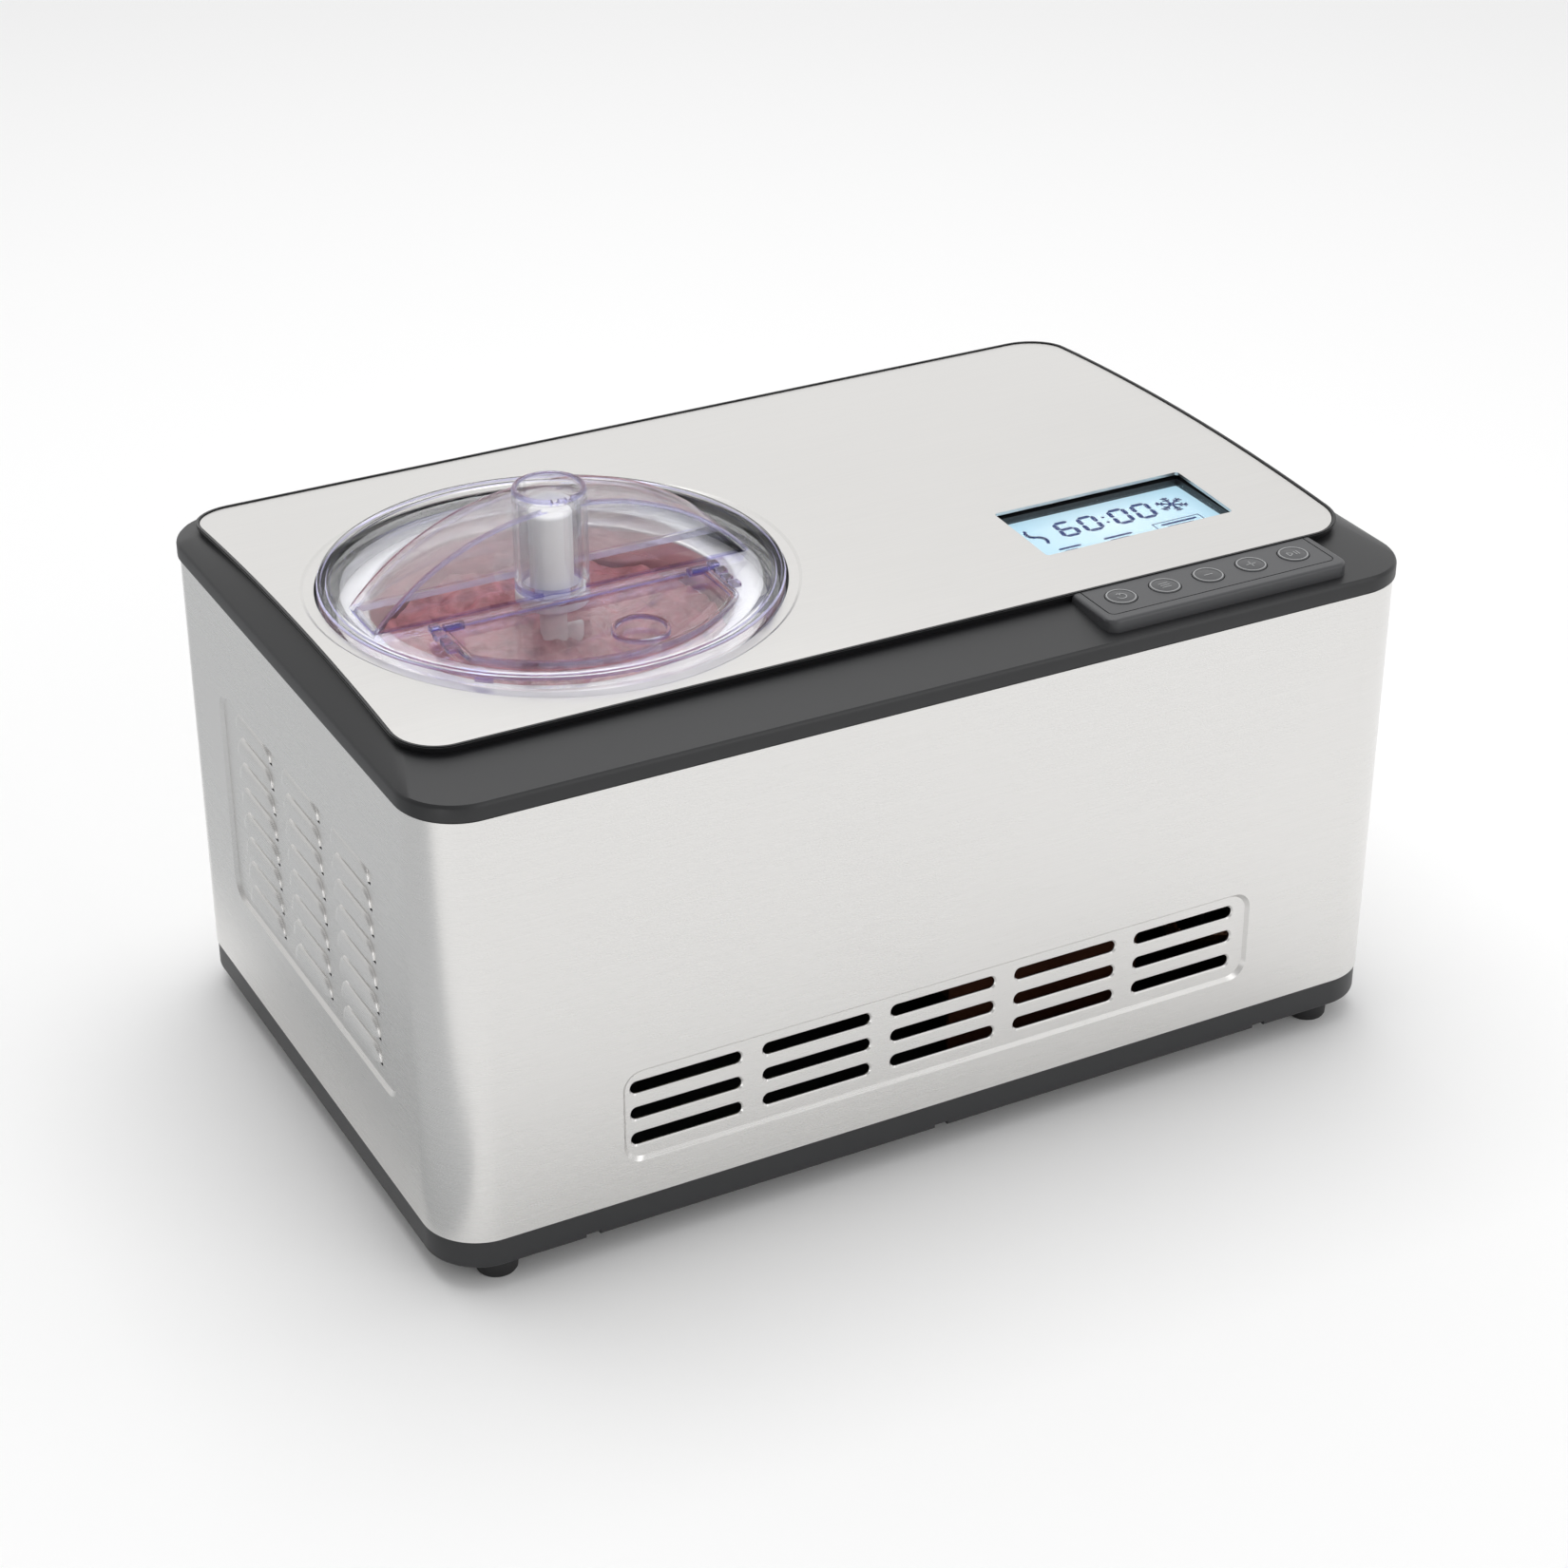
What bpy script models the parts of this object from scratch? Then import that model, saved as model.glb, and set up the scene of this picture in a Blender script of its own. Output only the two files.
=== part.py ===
"""Countertop ice cream maker with its own compressor: a brushed steel case with a dark frame round
an arched steel top, a lift-out bowl under a clear lid, and the drive and cooling parts inside.

Metres, +Z up. The origin is on the floor, under the centre of the case. +X is to the right as seen
from the front, and +Y is to the rear. Run with: blender --background --python part.py
"""

import math

import bmesh
import bpy
from mathutils import Matrix, Vector

# ---- Driving dimensions -------------------------------------------------------------------------
BODY_W = 0.425           # case width over the frame's lip
BODY_D = 0.270           # case depth over the frame's lip
WALL_H = 0.180           # steel wall between the base band and the frame
BODY_R = 0.024           # radius of the case's upright corners
FOOT_H = 0.010
FOOT_R = 0.009
FOOT_INSET_X = 0.026     # foot centre from the case's left or right side
FOOT_INSET_Y = 0.015     # foot centre from the case's front or rear
BASE_H = 0.012           # height of the base tray's band
BASE_WALL = 0.0025
BASE_INSET = 0.0015      # band behind the frame's lip
STEEL_INSET = 0.001      # wall behind the frame's lip
SHEET = 0.001            # steel wall thickness
LIP_H = 0.007            # upright lip of the frame
FRAME_WALL = 0.003
GAP = 0.0003             # assembly gap between touching pieces
RUN = 0.0006             # running clearance of what turns or lifts

# The arched top plate and the fascia that falls from it to the lip
FASCIA_FRONT = 0.034
FASCIA_SIDE = 0.011
FASCIA_BACK = 0.004
FASCIA_RISE = 0.006      # plate's front edge above the lip
PLATE_FALL = 0.003       # plate's rear edge below its front edge
CROWN = 0.005            # height of the arch over its chord
PLATE_R = 0.017
PLATE_T = 0.0012
DECK_T = 0.003

# Bowl, freezer well and lid, all turned about one upright axis
BOWL_FROM_LEFT = 0.112   # axis from the case's left side
BOWL_R = 0.070           # inside radius of the bowl
BOWL_H = 0.112
BOWL_T = 0.0012
BOWL_FLANGE = 0.012
BOWL_HEEL = 0.008        # slope between the bowl's floor and its wall
WELL_CLEAR = 0.0018      # bowl to well, all round
WELL_T = 0.001
FOAM_T = 0.016
FOAM_FLOOR = 0.012
COIL_TUBE_R = 0.0035
COIL_TURNS = 4
COIL_POINTS = 20         # points in one turn
CHIMNEY_H = 0.035        # tube in the bowl's floor, round the drive shaft
CHIMNEY_R = 0.0066
SHAFT_R = 0.004
SEAL_R = 0.0058
SHAFT_PROUD = 0.010      # shaft's end above the tube in the bowl
LID_T = 0.0022
LID_SKIRT_T = 0.002
LID_RIM = 0.0035         # lid's rim above its panel
RIM_PROUD = 0.002        # lid's rim above the plate
SKIRT_CLEAR = 0.0028     # bowl's flange to the lid's skirt
HOLE_CLEAR = 0.001       # lid to the plate's hole

# The lid's arched handle with its hub, and the filler hatch
HANDLE_H = 0.036
HANDLE_W = 0.027
HANDLE_T = 0.002
HANDLE_INSET = 0.011     # handle's ends from the lid's outside
HUB_R = 0.0145
HUB_T = 0.0025
HUB_PROUD = 0.003        # hub's crown above the handle
HUB_SUNK = 0.001         # hub's foot below the lid's panel
HATCH_HALF = 0.055       # half the hatch's width
HATCH_BACK = 0.020       # hatch's straight edge from the bowl's axis
HATCH_INSET = 0.018      # hatch's round edge from the lid's outside
HATCH_T = 0.002
HINGE_BARREL_R = 0.002
HINGE_PIN_R = 0.0009
HINGE_LUG = 0.004        # thickness of a hinge lug
HINGE_BACK = 0.003       # hinge axis from the hatch's straight edge
HINGE_UP = 0.0014        # hinge axis above the lid's panel
TAB_R = 0.012            # finger tab of the hatch

# Paddle
BLADE_T = 0.004
BLADE_CLEAR = 0.004      # blade's tip to the bowl's wall
STEM_R = 0.0053
COLLAR_R = 0.0145
COLLAR_H = 0.005
SPIGOT_R = 0.0085        # top of the stem, inside the lid's hub
BLADE_DROP = 0.024       # top of the blades below the stem's collar

# Controls
LCD_W = 0.0875
LCD_D = 0.040
LCD_FROM_RIGHT = 0.0905  # screen centre from the case's right side
LCD_FROM_FRONT = 0.083   # screen centre from the case's front
LCD_R = 0.0015
LCD_SINK = 0.0045        # screen below the plate's highest point there
BEZEL_T = 0.0025
LENS_T = 0.0012
PAD_W = 0.111
PAD_D = 0.024            # flat top of the control pad
PAD_FROM_RIGHT = 0.031
PAD_NOSE = 0.0045        # the pad's front slope
KEY_R = 0.0063
KEY_PITCH = 0.020
KEY_H = 0.006
KEY_COUNT = 5

# Vents
SLOT_COLUMNS = 5
SLOT_ROWS = 3
SLOT_W = 0.0465
SLOT_H = 0.0053
SLOT_PITCH_X = 0.0557
SLOT_PITCH_Z = 0.0115
SLOTS_UP = 0.0373        # middle row above the wall's lower edge
LOUVRE_COLUMNS = 3
LOUVRE_ROWS = 8
LOUVRE_W = 0.0375
LOUVRE_H = 0.0012
LOUVRE_PITCH_Y = 0.0505
LOUVRE_PITCH_Z = 0.0113
LOUVRES_UP = 0.0895      # middle of the louvres above the wall's lower edge
LOUVRES_Y = -0.0055      # middle of the louvres from the middle of the case

# Drive, refrigeration and electrics
GEAR_W = 0.080
GEAR_D = 0.064
GEAR_H = 0.036
SHAFT_IN_GEAR = 0.020
MOTOR_R = 0.0175
MOTOR_L = 0.052
BRACKET_T = 0.002
COMPRESSOR_R = 0.050
COMPRESSOR_H = 0.118
COMPRESSOR_Y = 0.048
MOUNT_PLATE_T = 0.0025
GROMMET_R = 0.008
GROMMET_H = 0.009
CONDENSER_T = 0.028
CONDENSER_W = 0.130
CONDENSER_H = 0.120
CONDENSER_FINS = 12
CONDENSER_FROM_RIGHT = 0.012
FAN_T = 0.020
FAN_FROM_CONDENSER = 0.004
FAN_BLADES = 5
FAN_CHORD = 0.024
FAN_BLADE_T = 0.002
FAN_TILT = 30            # degrees that the blades stand out of the fan's plane
DRIER_R = 0.008
DRIER_L = 0.060
LINE_R = 0.003
CAPILLARY_R = 0.0012
BOARD_T = 0.0016
INLET_W = 0.028
INLET_H = 0.020
INLET_FROM_RIGHT = 0.062
INLET_UP = 0.030         # inlet centre above the wall's lower edge

CORNER_STEPS = 6
ARCH_STEPS = 12
FINE_TURN = 48
TURN = 36
COARSE_TURN = 24

# ---- Levels and places worked out from them -----------------------------------------------------
WALL_Z = FOOT_H + BASE_H
LIP_Z = WALL_Z + WALL_H
RIDGE_Z = LIP_Z + LIP_H
DECK_TOP = LIP_Z + DECK_T
FLOOR_TOP = FOOT_H + BASE_WALL + GAP
PLATE_FRONT = -BODY_D / 2 + FASCIA_FRONT
PLATE_BACK = BODY_D / 2 - FASCIA_BACK
PLATE_HALF = BODY_W / 2 - FASCIA_SIDE

BOWL_X = -BODY_W / 2 + BOWL_FROM_LEFT
BOWL_OUT = BOWL_R + BOWL_T
FLANGE_R = BOWL_OUT + BOWL_FLANGE
WELL_IN = BOWL_OUT + WELL_CLEAR
WELL_OUT = WELL_IN + WELL_T
COIL_R = WELL_OUT + 4 * GAP + COIL_TUBE_R
FOAM_IN = COIL_R + COIL_TUBE_R + GAP
FOAM_OUT = FOAM_IN + FOAM_T
SKIRT_IN = FLANGE_R + SKIRT_CLEAR
LID_R = SKIRT_IN + 2 * LID_SKIRT_T
HOLE_R = LID_R + HOLE_CLEAR

WELL_FLANGE_Z = DECK_TOP + GAP
BOWL_FLANGE_Z = WELL_FLANGE_Z + WELL_T + GAP
BOWL_BOTTOM = BOWL_FLANGE_Z + BOWL_T - BOWL_H
WELL_BOTTOM = BOWL_BOTTOM - WELL_CLEAR
FOAM_TOP_OF_FLOOR = WELL_BOTTOM - WELL_T - GAP
FOAM_BOTTOM = FOAM_TOP_OF_FLOOR - FOAM_FLOOR
GEAR_TOP = FOAM_BOTTOM - 3 * GAP
GEAR_BOTTOM = GEAR_TOP - GEAR_H
CHIMNEY_TOP = BOWL_BOTTOM + CHIMNEY_H
SHAFT_TOP = CHIMNEY_TOP + SHAFT_PROUD


def plate_z(y):
    """Height of the plate's top face, an arch from front to rear."""
    t = (y - PLATE_FRONT) / (PLATE_BACK - PLATE_FRONT)
    return RIDGE_Z + FASCIA_RISE - PLATE_FALL * t + 4 * CROWN * t * (1 - t)


def fascia_z(y):
    """Height of the front fascia, which falls from the plate to the lip."""
    return RIDGE_Z + FASCIA_RISE * (y + BODY_D / 2) / FASCIA_FRONT


RIM_TOP = plate_z(0) + RIM_PROUD
PANEL_TOP = RIM_TOP - LID_RIM
PANEL_LOW = PANEL_TOP - LID_T
HANDLE_END = LID_R - HANDLE_INSET
HANDLE_RADIUS = (HANDLE_END**2 + HANDLE_H**2) / (2 * HANDLE_H)
HANDLE_CENTRE_Z = PANEL_TOP + HANDLE_H - HANDLE_RADIUS
HUB_TOP = PANEL_TOP + HANDLE_H + HUB_PROUD
HATCH_R = LID_R - HATCH_INSET
HINGE_Y = -HATCH_BACK - HINGE_BACK
HINGE_Z = PANEL_TOP + HINGE_UP
HUB_LOW = PANEL_LOW - HUB_SUNK
BLADE_TOP = PANEL_LOW - COLLAR_H - BLADE_DROP

# ---- Scene, materials and mesh helpers ----------------------------------------------------------
MATERIALS = {  # name: (colour, roughness, metallic, alpha)
    "steel_wall": ((0.60, 0.59, 0.57), 0.34, 1.0, 1.0),
    "frame_plastic": ((0.06, 0.06, 0.063), 0.55, 0.0, 1.0),
    "pad_plastic": ((0.12, 0.12, 0.125), 0.50, 0.0, 1.0),
    "rubber": ((0.02, 0.02, 0.02), 0.80, 0.0, 1.0),
    "clear_plastic": ((0.86, 0.87, 0.97), 0.05, 0.0, 0.35),
    "white_plastic": ((0.85, 0.84, 0.82), 0.40, 0.0, 1.0),
    "screen": ((0.62, 0.85, 0.95), 0.30, 0.0, 1.0),
    "bare_aluminium": ((0.78, 0.78, 0.77), 0.35, 1.0, 1.0),
    "copper": ((0.80, 0.42, 0.25), 0.30, 1.0, 1.0),
    "foam": ((0.87, 0.82, 0.62), 0.90, 0.0, 1.0),
    "black_paint": ((0.03, 0.03, 0.032), 0.45, 0.0, 1.0),
    "machine_steel": ((0.55, 0.55, 0.55), 0.40, 1.0, 1.0),
    "board": ((0.05, 0.25, 0.12), 0.50, 0.0, 1.0),
}


def clear_scene():
    for obj in list(bpy.data.objects):
        bpy.data.objects.remove(obj, do_unlink=True)


def new_collection(name):
    made = bpy.data.collections.new(name)
    bpy.context.scene.collection.children.link(made)
    return made


def make_material(name):
    colour, roughness, metallic, alpha = MATERIALS[name]
    made = bpy.data.materials.new(name)
    made.use_nodes = True
    shader = made.node_tree.nodes["Principled BSDF"]
    shader.inputs["Base Color"].default_value = (*colour, 1.0)
    shader.inputs["Roughness"].default_value = roughness
    shader.inputs["Metallic"].default_value = metallic
    shader.inputs["Alpha"].default_value = alpha
    return made


clear_scene()
PARTS = new_collection("ice_cream_maker")
CUTTERS = new_collection("cutters")
CUTTERS.hide_render = True
FINISH = {name: make_material(name) for name in MATERIALS}


def add_part(name, mesh, finish, origin=(0, 0, 0)):
    """A named sub-part whose mesh is in world coordinates, with its origin at a chosen point."""
    mesh.transform(Matrix.Translation(-Vector(origin)))
    obj = bpy.data.objects.new(name, mesh)
    obj.location = origin
    mesh.materials.append(FINISH[finish])
    PARTS.objects.link(obj)
    mesh.shade_smooth()
    mesh.set_sharp_from_angle(angle=math.radians(35))
    return obj


def add_cutter(name, mesh):
    obj = bpy.data.objects.new(name, mesh)
    obj.hide_render = True
    obj.display_type = "WIRE"
    CUTTERS.objects.link(obj)
    return obj


def boolean(obj, name, mesh, operation="DIFFERENCE"):
    """Cuts, joins or intersects obj with a helper mesh."""
    modifier = obj.modifiers.new(name, "BOOLEAN")
    modifier.operation = operation
    modifier.object = add_cutter(f"{obj.name}_{name}", mesh)
    return modifier


def to_mesh(bm, name):
    mesh = bpy.data.meshes.new(name)
    bm.to_mesh(mesh)
    bm.free()
    return mesh


def box(low, high, radius=0.0, steps=CORNER_STEPS, axis=2, drop=()):
    """A block between two corners, its edges along one axis rounded, with chosen end faces left out."""
    low, high = Vector(low), Vector(high)
    bm = bmesh.new()
    bmesh.ops.create_cube(bm, size=1)
    bmesh.ops.scale(bm, vec=high - low, verts=bm.verts)
    bmesh.ops.translate(bm, vec=(low + high) / 2, verts=bm.verts)
    if radius:
        span = [e for e in bm.edges if abs((e.verts[0].co - e.verts[1].co)[axis]) > 1e-6]
        bmesh.ops.bevel(bm, geom=span, offset=radius, segments=steps, profile=0.5, affect="EDGES")
    for direction in drop:
        ends = [f for f in bm.faces if f.normal.dot(Vector(direction)) > 0.9]
        bmesh.ops.delete(bm, geom=ends, context="FACES")
    return to_mesh(bm, "box")


def cylinder(radius, start, end, steps=COARSE_TURN, end_radius=None):
    """A round bar from one point to another, tapered if a second radius is given."""
    start, end = Vector(start), Vector(end)
    turn = (end - start).to_track_quat("Z", "Y").to_matrix().to_4x4()
    top = radius if end_radius is None else end_radius
    bm = bmesh.new()
    bmesh.ops.create_cone(
        bm,
        cap_ends=True,
        segments=steps,
        radius1=radius,
        radius2=top,
        depth=(end - start).length,
        matrix=Matrix.Translation((start + end) / 2) @ turn,
    )
    return to_mesh(bm, "cylinder")


def upright(radius, low, high, steps=COARSE_TURN):
    """An upright bar on the bowl's axis."""
    return cylinder(radius, (BOWL_X, 0, low), (BOWL_X, 0, high), steps)


def clip(mesh, planes):
    """Keeps the side of a mesh that each plane's normal points away from, and closes the cut."""
    bm = bmesh.new()
    bm.from_mesh(mesh)
    for point, normal in planes:
        everything = bm.verts[:] + bm.edges[:] + bm.faces[:]
        cut = bmesh.ops.bisect_plane(
            bm, geom=everything, plane_co=point, plane_no=normal, clear_outer=True
        )
        rim = [item for item in cut["geom_cut"] if isinstance(item, bmesh.types.BMEdge)]
        bmesh.ops.edgeloop_fill(bm, edges=rim)
    bmesh.ops.recalc_face_normals(bm, faces=bm.faces)
    return to_mesh(bm, "clipped")


def turned(name, profile, finish, closed=True, steps=TURN):
    """A piece turned about the bowl's axis from (radius, height) points that run down its outside."""
    bm = bmesh.new()
    points = [bm.verts.new((radius, 0, z)) for radius, z in profile]
    for first, second in zip(points, points[1:]):
        bm.edges.new((first, second))
    if closed:
        bm.edges.new((points[-1], points[0]))
    obj = add_part(name, to_mesh(bm, name), finish)
    obj.location = (BOWL_X, 0, 0)
    screw = obj.modifiers.new("turn", "SCREW")
    screw.axis = "Z"
    screw.angle = math.tau
    screw.steps = steps
    screw.render_steps = steps
    screw.use_merge_vertices = True
    screw.merge_threshold = 0.00001
    return obj


def solidify(obj, thickness, offset=-1):
    modifier = obj.modifiers.new("wall", "SOLIDIFY")
    modifier.thickness = thickness
    modifier.offset = offset
    modifier.use_even_offset = True


def tube(name, points, radius, finish):
    """A bent tube through points, as a poly curve with round bevel and filled ends."""
    curve = bpy.data.curves.new(name, "CURVE")
    curve.dimensions = "3D"
    curve.bevel_depth = radius
    curve.bevel_resolution = 2
    curve.use_fill_caps = True
    spline = curve.splines.new("POLY")
    spline.points.add(len(points) - 1)
    for point, place in zip(spline.points, points):
        point.co = (*place, 1)
    obj = bpy.data.objects.new(name, curve)
    curve.materials.append(FINISH[finish])
    PARTS.objects.link(obj)
    return obj


def smooth_route(points, steps=4):
    """Points along a Catmull-Rom curve through a bent tube's own points, with straight ends."""
    route = [Vector(points[0])]
    for a, b, c, d in zip(points, points[1:], points[2:], points[3:]):
        a, b, c, d = Vector(a), Vector(b), Vector(c), Vector(d)
        for i in range(steps):
            t = i / steps
            line = 2 * b + (c - a) * t
            bend = (2 * a - 5 * b + 4 * c - d) * t**2 + (3 * b - a - 3 * c + d) * t**3
            route.append(0.5 * (line + bend))
    return [*route, Vector(points[-2]), Vector(points[-1])]


# ---- Case ---------------------------------------------------------------------------------------
def make_base_tray():
    low = (-BODY_W / 2 + BASE_INSET, -BODY_D / 2 + BASE_INSET, FOOT_H)
    high = (BODY_W / 2 - BASE_INSET, BODY_D / 2 - BASE_INSET, WALL_Z)
    mesh = box(low, high, BODY_R - BASE_INSET, drop=[(0, 0, 1)])
    tray = add_part("base_tray", mesh, "frame_plastic")
    solidify(tray, BASE_WALL)
    return tray


def make_feet():
    for side_x, across in (("left", -1), ("right", 1)):
        for side_y, along in (("front", -1), ("rear", 1)):
            x = across * (BODY_W / 2 - FOOT_INSET_X)
            y = along * (BODY_D / 2 - FOOT_INSET_Y)
            mesh = cylinder(FOOT_R * 0.85, (x, y, 0), (x, y, FOOT_H - GAP), end_radius=FOOT_R)
            add_part(f"foot_{side_y}_{side_x}", mesh, "rubber")


def make_housing():
    """The wrapped steel wall, with the front slots, the side louvres and the inlet's hole."""
    low = (-BODY_W / 2 + STEEL_INSET, -BODY_D / 2 + STEEL_INSET, WALL_Z + GAP)
    high = (BODY_W / 2 - STEEL_INSET, BODY_D / 2 - STEEL_INSET, LIP_Z - GAP)
    mesh = box(low, high, BODY_R - STEEL_INSET, drop=[(0, 0, 1), (0, 0, -1)])
    wall = add_part("steel_housing", mesh, "steel_wall")
    solidify(wall, SHEET)
    boolean(wall, "slots", slot_cutters())
    boolean(wall, "louvres", louvre_cutters())
    x, z = BODY_W / 2 - INLET_FROM_RIGHT, WALL_Z + INLET_UP
    half = Vector((INLET_W / 2 + GAP, 0.02, INLET_H / 2 + GAP))
    centre = Vector((x, BODY_D / 2, z))
    boolean(wall, "inlet_hole", box(centre - half, centre + half))
    return wall


def merge(meshes):
    """Several separate cutters as one mesh."""
    bm = bmesh.new()
    for mesh in meshes:
        bm.from_mesh(mesh)
    return to_mesh(bm, "merged")


def spread(count, pitch):
    """Places of a row of equal pitch about its middle."""
    return [(i - (count - 1) / 2) * pitch for i in range(count)]


def slot_cutters():
    cutters = []
    for x in spread(SLOT_COLUMNS, SLOT_PITCH_X):
        for up in spread(SLOT_ROWS, SLOT_PITCH_Z):
            z = WALL_Z + SLOTS_UP + up
            low = (x - SLOT_W / 2, -BODY_D / 2 - 0.005, z - SLOT_H / 2)
            high = (x + SLOT_W / 2, -BODY_D / 2 + 0.005, z + SLOT_H / 2)
            cutters.append(box(low, high, SLOT_H * 0.49, steps=4, axis=1))
    return merge(cutters)


def louvre_cutters():
    cutters = []
    for side in (-1, 1):
        for y in spread(LOUVRE_COLUMNS, LOUVRE_PITCH_Y):
            for up in spread(LOUVRE_ROWS, LOUVRE_PITCH_Z):
                centre = Vector((side * BODY_W / 2, LOUVRES_Y + y, WALL_Z + LOUVRES_UP + up))
                half = Vector((0.005, LOUVRE_W / 2, LOUVRE_H / 2))
                cutters.append(box(centre - half, centre + half))
    return merge(cutters)


def rounded_outline(low, high, radius, side_steps=ARCH_STEPS):
    """Points round a rectangle with round corners, with extra points along its left and right sides."""
    x0, x1 = low[0] + radius, high[0] - radius
    y0, y1 = low[1] + radius, high[1] - radius
    corners = ((x1, y0, -90), (x1, y1, 0), (x0, y1, 90), (x0, y0, 180))
    points = []
    for number, (cx, cy, start) in enumerate(corners):
        for i in range(CORNER_STEPS + 1):
            angle = math.radians(start + 90 * i / CORNER_STEPS)
            points.append((cx + radius * math.cos(angle), cy + radius * math.sin(angle)))
        if number in (0, 2):
            x, y = points[-1]
            end = y1 if number == 0 else y0
            for i in range(1, side_steps):
                points.append((x, y + (end - y) * i / side_steps))
    return points


def make_top_frame():
    """The moulded frame: an upright lip, the fascia up to the plate's edge, and a wall all round."""
    def outer(inset):
        half = Vector((BODY_W / 2 - inset, BODY_D / 2 - inset))
        return rounded_outline(-half, half, BODY_R - inset)

    def inner(spare):
        low = (-PLATE_HALF - spare, PLATE_FRONT - spare)
        high = (PLATE_HALF + spare, PLATE_BACK + spare)
        return rounded_outline(low, high, PLATE_R + spare)

    seat = FRAME_WALL * 0.9
    loops = [
        [(x, y, LIP_Z) for x, y in outer(0)],
        [(x, y, RIDGE_Z - 0.0008) for x, y in outer(0)],
        [(x, y, RIDGE_Z) for x, y in outer(0.0008)],
        [(x, y, plate_z(y)) for x, y in inner(GAP)],
        [(x, y, plate_z(y) - FRAME_WALL) for x, y in inner(GAP)],
        [(x, y, RIDGE_Z - seat) for x, y in outer(FRAME_WALL)],
        [(x, y, LIP_Z) for x, y in outer(FRAME_WALL)],
    ]
    bm = bmesh.new()
    rings = [[bm.verts.new(point) for point in loop] for loop in loops]
    for ring, following in zip(rings, rings[1:] + rings[:1]):
        for i in range(len(ring)):
            j = (i + 1) % len(ring)
            bm.faces.new((ring[i], ring[j], following[j], following[i]))
    bmesh.ops.recalc_face_normals(bm, faces=bm.faces)
    frame = add_part("top_frame", to_mesh(bm, "top_frame"), "frame_plastic")
    low, high = key_field(0.004)
    boolean(frame, "key_opening", box((*low, LIP_Z), (*high, RIDGE_Z + 0.02)))
    return frame


def make_top_plate():
    """The arched steel plate, with the lid's hole and the screen's window."""
    depth = PLATE_BACK - PLATE_FRONT
    bm = bmesh.new()
    bmesh.ops.create_grid(bm, x_segments=1, y_segments=2 * ARCH_STEPS, size=0.5)
    for vert in bm.verts:
        y = PLATE_FRONT + (vert.co.y + 0.5) * depth
        vert.co = (vert.co.x * 2 * PLATE_HALF, y, plate_z(y))
    plate = add_part("top_plate", to_mesh(bm, "top_plate"), "steel_wall")
    solidify(plate, PLATE_T)
    low = (-PLATE_HALF, PLATE_FRONT, RIDGE_Z - 0.05)
    high = (PLATE_HALF, PLATE_BACK, RIDGE_Z + 0.05)
    boolean(plate, "outline", box(low, high, PLATE_R), "INTERSECT")
    boolean(plate, "lid_hole", upright(HOLE_R, RIDGE_Z - 0.05, RIDGE_Z + 0.05, FINE_TURN))
    low, high = screen_field(0)
    window = box((*low, RIDGE_Z - 0.02), (*high, RIDGE_Z + 0.02), LCD_R, steps=2)
    boolean(plate, "screen_window", window)
    return plate


def make_deck():
    """The board under the plate: it carries the freezer well, the lid's collar and the screen."""
    inset = FRAME_WALL + GAP
    low = (-BODY_W / 2 + inset, -BODY_D / 2 + inset, LIP_Z)
    high = (BODY_W / 2 - inset, BODY_D / 2 - inset, DECK_TOP)
    deck = add_part("deck", box(low, high, BODY_R - inset), "frame_plastic")
    collar_top = plate_z(PLATE_FRONT) - PLATE_T - 0.0015
    collar = upright(HOLE_R + 0.003, DECK_TOP - 0.001, collar_top, FINE_TURN)
    boolean(deck, "collar", collar, "UNION")
    boolean(deck, "collar_bore", upright(HOLE_R, DECK_TOP, collar_top + 0.01, FINE_TURN))
    boolean(deck, "well_hole", upright(WELL_OUT + RUN, LIP_Z - 0.01, DECK_TOP + 0.01, FINE_TURN))
    return deck


# ---- Bowl, well and lid -------------------------------------------------------------------------
def make_bowl():
    top = BOWL_FLANGE_Z + BOWL_T
    return turned(
        "bowl",
        [
            (FLANGE_R, top),
            (FLANGE_R, BOWL_FLANGE_Z),
            (BOWL_OUT, BOWL_FLANGE_Z),
            (BOWL_OUT, BOWL_BOTTOM + BOWL_HEEL),
            (BOWL_OUT - BOWL_HEEL, BOWL_BOTTOM),
            (CHIMNEY_R, BOWL_BOTTOM),
            (CHIMNEY_R, CHIMNEY_TOP),
            (CHIMNEY_R + BOWL_T, CHIMNEY_TOP),
            (CHIMNEY_R + BOWL_T, BOWL_BOTTOM + BOWL_T),
            (BOWL_R - BOWL_HEEL, BOWL_BOTTOM + BOWL_T),
            (BOWL_R, BOWL_BOTTOM + BOWL_T + BOWL_HEEL),
            (BOWL_R, top),
        ],
        "bare_aluminium",
    )


def make_well():
    return turned(
        "freezer_well",
        [
            (FLANGE_R, WELL_FLANGE_Z + WELL_T),
            (FLANGE_R, WELL_FLANGE_Z),
            (WELL_OUT, WELL_FLANGE_Z),
            (WELL_OUT, WELL_BOTTOM - WELL_T),
            (SEAL_R + GAP, WELL_BOTTOM - WELL_T),
            (SEAL_R + GAP, WELL_BOTTOM),
            (WELL_IN, WELL_BOTTOM),
            (WELL_IN, WELL_FLANGE_Z + WELL_T),
        ],
        "bare_aluminium",
    )


def make_coil():
    """The evaporator: a tube wound round the outside of the well."""
    low, high = WELL_BOTTOM + 0.010, LIP_Z - 0.018
    count = COIL_TURNS * COIL_POINTS
    points = []
    for i in range(count + 1):
        angle = math.tau * i / COIL_POINTS
        x, y = BOWL_X + COIL_R * math.cos(angle), COIL_R * math.sin(angle)
        points.append((x, y, low + (high - low) * i / count))
    tube("evaporator_coil", points, COIL_TUBE_R, "copper")


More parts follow.
